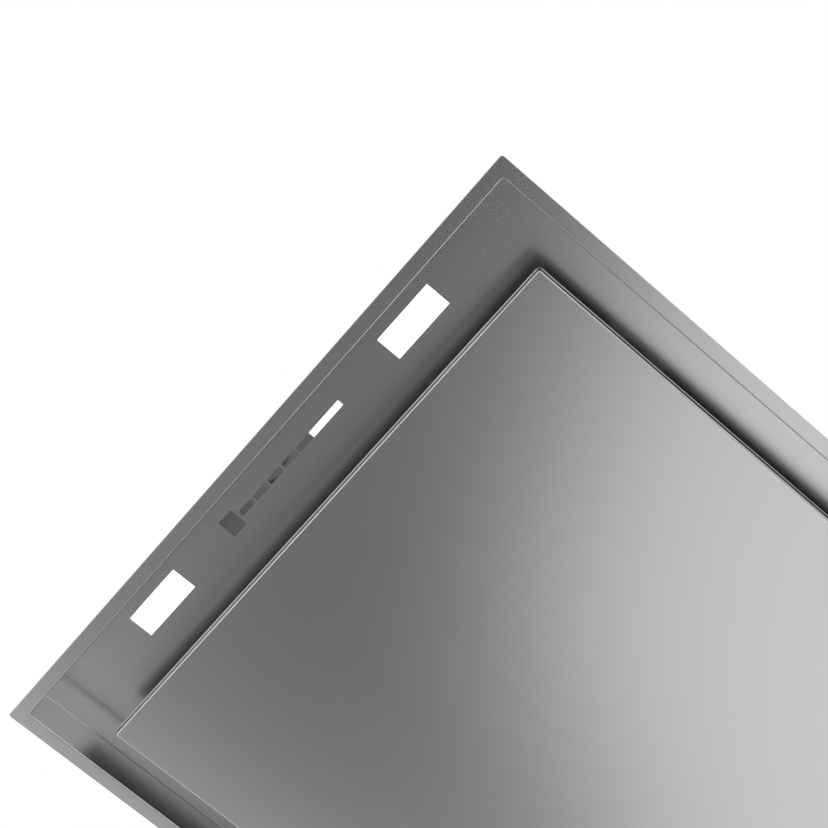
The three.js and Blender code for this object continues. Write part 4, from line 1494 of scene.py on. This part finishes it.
@dataclass
class Casing:
    """The galvanised casing over the tray, with the filters' crossbar below it."""

    levels: Span = (64, 108)
    side_beads: tuple[Span, ...] = ((-405, -150), (-125, 125), (150, 405))
    end_beads: tuple[Span, ...] = ((-200, -15), (15, 200))
    roof_beads: tuple[float, ...] = (-405, -214, 258, 290, 322, 405)
    roof_reach: float = 150
    edge_bead: Span = (320, 214)
    rivet: float = 2.3
    rivet_inset: Span = (9, 12)
    rivet_count: int = 5
    knockout: Outline = (
        (8.4, -0.2), (8.4, 0.25), (8.9, 0.5), (9.6, 0.5), (10, 0.25), (10, -0.2),
    )
    knockout_place: Span = (199.02, 86)
    tab: float = 6
    tab_rivet: float = 2.2

    def build(self) -> None:
        """Builds the casing."""
        low, high = extent("casing")
        shell = copied("casing", 0.6)
        rivets = Blank("casing_rivets")
        inset, foot = self.rivet_inset
        for side in (-1, 1):
            x, y = side * high.x, side * high.y
            for level in self.levels:
                for start, end in self.side_beads:
                    shell.bead((start, y, level), (end, y, level), (0, side, 0))
                for start, end in self.end_beads:
                    shell.bead((x, start, level), (x, end, level), (side, 0, 0))
            for corner in (-1, 1):
                at = corner * (high.y - inset)
                column = row((x, at, low.z + foot), (x, at, high.z - foot), self.rivet_count)
                rivets.stamp(fixings.rivet(), column, (side, 0, 0), self.rivet)
        for x in self.roof_beads:
            shell.bead((x, -self.roof_reach, high.z), (x, self.roof_reach, high.z))
        reach, inner = self.edge_bead
        for y in (-inner, inner):
            shell.bead((-reach, y, high.z), (reach, y, high.z), width=8, height=1)
        y, level = self.knockout_place
        for side in (-1, 1):
            shell.lathe(self.knockout, (low.x, side * y, level), NEAR_WAY, 32)
        shell.finish(finishes.galvanised, "housing", ["casing"])
        rivets.finish(finishes.zinc, "housing")
        self.crossbar()

    def crossbar(self) -> None:
        """The bar that the filters' inner ends rest on, with a rivet in each tab."""
        low, high = extent("filter_crossbar")
        copied("filter_crossbar").stamp(
            fixings.rivet(), [(0, side * (high.y - self.tab), low.z) for side in (-1, 1)],
            DOWN, self.tab_rivet,
        ).finish(finishes.zinc, "housing", ["filter_crossbar"])


@dataclass
class Blower:
    """The blower: box, scroll, impeller, inlet ring and motor."""

    wall: float = 175
    levels: Triple = (178, 220, 262)
    wall_bead: float = 140
    outlet_bead: float = 20
    dish: float = -1.2
    dish_reach: float = 158
    top_beads: tuple[float, ...] = (-110, -70, 70, 110)
    top_reach: float = 125
    cross_beads: Span = (45, 115)
    top_ring: Outline = (
        (66, -0.2), (66.8, 0.5), (68.5, 0.9), (70.5, 0.9), (72.2, 0.5), (73, -0.2),
    )
    rivet: float = 2.3
    rivet_insets: Triple = (8, 16, 12)
    foot_screws: int = 6
    foot_reach: Span = (150, 181.4)
    large_screw: float = 3
    small_screw: float = 2.8
    inlet_inset: float = 8
    boss: Outline = ((6.5, 0.3), (6.5, -2.6), (7.2, -3), (11, -3), (13, -1.4), (15, 0.3))
    through_bolts: float = 33
    flange_screws: float = 56.5

    def build(self) -> None:
        """Builds the blower."""
        self.box()
        dress("scroll_housing", finishes.galvanised, 0.3, 1, 50)
        dress("impeller", finishes.galvanised, 0, smooth=30)
        dress("motor_shaft", finishes.spring, 0.3, 1, 50)
        self.inlet()
        self.motor()

    def box(self) -> None:
        """The box: a dished top, beads in its walls and screws through its foot."""
        low, high = extent("blower_box")
        shell = Blank.copy_of("blower_box", "blower_box_dressed")
        reach = Vector((self.dish_reach, self.dish_reach, 0))
        for level, faces_up in ((high.z, True), (high.z - 1, False)):
            middle = Vector((0, 0, level))
            shell.press(middle - reach, middle + reach, self.dish, faces_up=faces_up)
        shell.soften(0.6)
        self.top(shell, high.z + self.dish)
        self.walls(shell, low, high)
        shell.finish(finishes.galvanised, "housing", ["blower_box"])
        self.rivets.finish(finishes.zinc, "housing")
        self.screws.finish(finishes.zinc, "housing")

    def top(self, shell: Blank, level: float) -> None:
        """Beads and a pressed ring in the top.

        Args:
            shell: The box.
            level: The top's height.
        """
        y = self.top_reach
        for x in self.top_beads:
            shell.bead((x, -y, level), (x, y, level), height=1)
        x, y = self.cross_beads
        for end in (-1, 1):
            shell.bead((-x, end * y, level), (x, end * y, level), height=1)
        shell.lathe(self.top_ring, (0, 0, level), UP, 64)

    def walls(self, shell: Blank, low: Vector, high: Vector) -> None:
        """Beads in the walls, rivets at their corners and screws through the foot.

        Args:
            shell: The box.
            low: Its lowest corner.
            high: Its highest corner.
        """
        self.rivets, self.screws = Blank("blower_rivets"), Blank("blower_screws")
        inset, bottom, top = self.rivet_insets
        along, out = self.foot_reach
        end, foot = self.wall_bead, low.z + 1
        for side in (-1, 1):
            wall = side * self.wall
            start = self.outlet_bead if side > 0 else -end
            for level in self.levels:
                shell.bead((-end, wall, level), (end, wall, level), (0, side, 0))
                shell.bead((wall, start, level), (wall, end, level), (side, 0, 0))
            for corner in (-1, 1):
                x = corner * (self.wall - inset)
                self.rivets.stamp(
                    fixings.rivet(),
                    row((x, wall, low.z + bottom), (x, wall, high.z - top), 5),
                    (0, side, 0), self.rivet,
                )
            for first, last in (
                ((-along, side * out, foot), (along, side * out, foot)),
                ((side * out, -along, foot), (side * out, along, foot)),
            ):
                self.screws.stamp(
                    fixings.screw(), row(first, last, self.foot_screws),
                    size=self.large_screw,
                )

    def inlet(self) -> None:
        """The moulded inlet ring, with its screws."""
        low, high = extent("inlet_ring")
        dress("inlet_ring", finishes.black, 0, smooth=40)
        places = around(high.x - self.inlet_inset, low.z, 6, math.pi / 6)
        fasten("inlet_screws", fixings.screw(), places, self.small_screw, DOWN)

    def motor(self) -> None:
        """The cast motor: a bearing boss and through-bolts below, flange screws above."""
        low, high = extent("motor")
        body = copied("motor", 0.5, 2, 50).lathe(self.boss, (0, 0, low.z), UP, 40)
        body.finish(finishes.cast, body_of("motor"), ["motor"], 50)
        bolts = around(self.through_bolts, low.z, 4, math.pi / 4)
        screws = around(self.flange_screws, high.z, 4, math.pi / 4)
        Blank("motor_screws").stamp(fixings.screw(), bolts, DOWN, self.small_screw).stamp(
            fixings.screw(), screws, UP, self.large_screw
        ).finish(finishes.zinc, body_of("motor"))


@dataclass
class Outlet:
    """The outlet collar with its two backdraught flaps."""

    flange: float = 3
    wall: float = 4
    clamp_ridges: Span = (34, 46)
    ridge: Outline = ((-0.3, -1.8), (0.7, -1.1), (1.1, 0), (0.7, 1.1), (-0.3, 1.8))
    web_turns: tuple[float, ...] = (35, 55, 125, 145, 215, 235, 305, 325)
    web: Triple = (19, 15, 2.2)
    screw: float = 3.4
    screw_reach: float = 69

    def build(self) -> None:
        """Builds the outlet."""
        low, high = extent("outlet_collar")
        middle = (low + high) / 2
        seat = low.x + self.flange
        bore = (extent("flap_left")[1].y - extent("flap_right")[0].y) / 2
        radius = bore + self.wall
        collar = copied("outlet_collar", 0.3, 1, 50)
        outline = [(radius + out, height) for out, height in self.ridge]
        for place in self.clamp_ridges:
            collar.lathe(outline, (low.x + place, middle.y, middle.z), FAR_WAY, 64)
        along, out, thickness = self.web
        for degrees in self.web_turns:
            turn = Matrix.Rotation(math.radians(degrees), 4, "X")
            foot = turn @ Vector((0, 0, radius - 0.4))
            foot += Vector((seat - 0.3, middle.y, middle.z))
            collar.web(foot, (along, 0, 0), turn @ Vector((0, 0, out)), thickness)
        collar.finish(finishes.black, "housing", ["outlet_collar"], 50)
        fasten("collar_screws", fixings.screw(), [
            (seat, middle.y + side * self.screw_reach, middle.z + level * self.screw_reach)
            for side in (-1, 1) for level in (-1, 1)
        ], self.screw, FAR_WAY)
        for node, finish in (
            ("flap_left", finishes.black), ("flap_right", finishes.black),
            ("flap_pin", finishes.spring),
        ):
            dress(node, finish, 0.2, 1, 50)


@dataclass
class Electrics:
    """The boxes on the roof: controls, lamp driver and terminals."""

    screw: float = 2.8
    control_bead: Span = (42, 14)
    lid_press: float = 15
    lid_lift: float = 0.9
    lid_lap: float = 0.9
    lid_skirt: float = 7.2
    lid_top: float = 1
    ridges: int = 16
    ridge_radius: float = 8.6
    ridge: Triple = (10, 0.9, 1.2)
    ridge_start: float = 12.6
    seal: Outline = ((4.1, 0.6), (4.1, -0.2), (4.6, -0.6), (6.8, -0.6), (7.4, 0), (7.4, 0.6))
    seal_depth: float = 0.4

    def build(self) -> None:
        """Builds the boxes."""
        self.controls()
        self.driver()
        self.terminals()
        self.gland()

    def fix_lid(self, name: str, low: Vector, high: Vector, inset: Span) -> None:
        """Screws at a lid's corners."""
        fasten(name, fixings.screw(), corners(low, high, inset), self.screw)

    def controls(self) -> None:
        """The control box, with beaded sides, under its pressed and screwed lid."""
        low, high = extent("control_box")
        box = copied("control_box")
        reach, level = self.control_bead[0], low.z + self.control_bead[1]
        for side, x in ((-1, low.x), (1, high.x)):
            box.bead((x, -reach, level), (x, reach, level), (side, 0, 0), 7, 0.9)
        box.finish(finishes.galvanised, "housing", ["control_box"])
        low, high = extent("control_lid")
        lid = Blank.copy_of("control_lid", "control_lid_dressed")
        inset = self.lid_press
        lid.press(
            Vector((low.x + inset, low.y + inset, high.z)), high - Vector((inset, inset, 0)),
            self.lid_lift, 2,
        ).soften(0.6)
        lid.finish(finishes.galvanised, "housing", ["control_lid"])
        self.fix_lid("control_screws", low, high, (7, 7))

    def driver(self) -> None:
        """The lamp driver, screwed down at its corners."""
        dress("lamp_driver", finishes.grey, 0.8)
        self.fix_lid("driver_screws", *extent("lamp_driver"), (5, 6))

    def terminals(self) -> None:
        """The terminal box, with a moulded lid that overlaps its walls."""
        low, high = extent("terminal_box")
        lap, skirt, top = self.lid_lap, self.lid_skirt, self.lid_top
        copied("terminal_box", 0.8).block(
            (low.x - lap, low.y - lap, high.z - skirt),
            (high.x + lap, high.y + lap, high.z + top), 1.2, 3,
        ).finish(finishes.grey, "housing", ["terminal_box"])
        self.fix_lid("terminal_screws", low, high + Vector((0, 0, top)), (6, 6))

    def gland(self) -> None:
        """The cable gland, with grip ridges round its dome and a sealing ring in its mouth."""
        low, high = extent("cable_gland")
        middle = (low + high) / 2
        axis = Vector((low.x, middle.y, middle.z))
        gland = copied("cable_gland", 0.3)
        length, rise, thickness = self.ridge
        for index in range(self.ridges):
            turn = Matrix.Rotation(math.tau * index / self.ridges, 4, "X")
            foot = axis + turn @ Vector((0, 0, self.ridge_radius))
            foot += Vector((self.ridge_start, 0, 0))
            gland.web(foot, (-length, 0, 0), turn @ Vector((0, 0, rise)), thickness)
        gland.lathe(self.seal, axis + Vector((self.seal_depth, 0, 0)), FAR_WAY, 28)
        gland.finish(finishes.black, "housing", ["cable_gland"])


@dataclass
class Hanger:
    """One hanging bracket with its bolt."""

    end: End
    side: Side
    sheet: float = 2.5
    foot: float = 20
    sunk: float = 0.2
    web_reach: float = 9.5
    web_length: float = 9
    lower_web: float = 14
    upper_web: float = 12
    web: float = 3
    washer: Outline = ((3.2, 0), (3.2, 0.28), (7.8, 0.28), (8, 0.14), (8, 0))

    def build(self) -> None:
        """Builds the bracket."""
        name = f"{self.end.name}_{self.side.name}".lower()
        node, bolt_node = f"hanging_bracket_{name}", f"bracket_bolt_{name}"
        low, high = extent(node)
        bolt = sum(extent(bolt_node), Vector()) / 2
        sign, middle = self.end.value, (low.y + high.y) / 2
        inner = bolt.x + sign * (self.foot - self.sheet)
        depth = self.sheet - self.sunk
        bracket = copied(node, 0.6)
        for y in (middle - self.web_reach, middle + self.web_reach):
            bracket.web(
                (inner + sign * self.sunk, y, low.z + depth), (-sign * self.web_length, 0, 0),
                (0, 0, self.lower_web), self.web,
            )
            bracket.web(
                (inner + sign * depth, y, high.z - depth), (sign * self.web_length, 0, 0),
                (0, 0, -self.upper_web), self.web,
            )
        bracket.finish(finishes.zinc, "housing", [node])
        copied(bolt_node, 0.3).lathe(
            self.washer, (bolt.x, bolt.y, low.z + self.sheet), UP, 28
        ).finish(finishes.zinc, "housing", [bolt_node])


def main() -> None:
    """Builds the studio, then the hood from the room up."""
    logging.basicConfig(level=logging.INFO, format="%(name)s: %(message)s")
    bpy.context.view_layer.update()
    Studio().build()
    places = [(end, side) for end in End for side in Side]
    parts = [TrimTray(), SwingPanel(), Indicators(), Casing(), Blower(), Outlet(), Electrics()]
    parts += [Lamp(end, side) for end, side in places]
    parts += [Hanger(end, side) for end, side in places]
    parts += [kind(end) for end in End for kind in (Fittings, GreaseFilter)]
    for part in parts:
        part.build()
    fixings.clear()
    left = [name for name, node in frame["nodes"].items() if not node.hide_render]
    log.info("nodes shown as they are: %s", left)


if __name__ == "__main__":
    main()
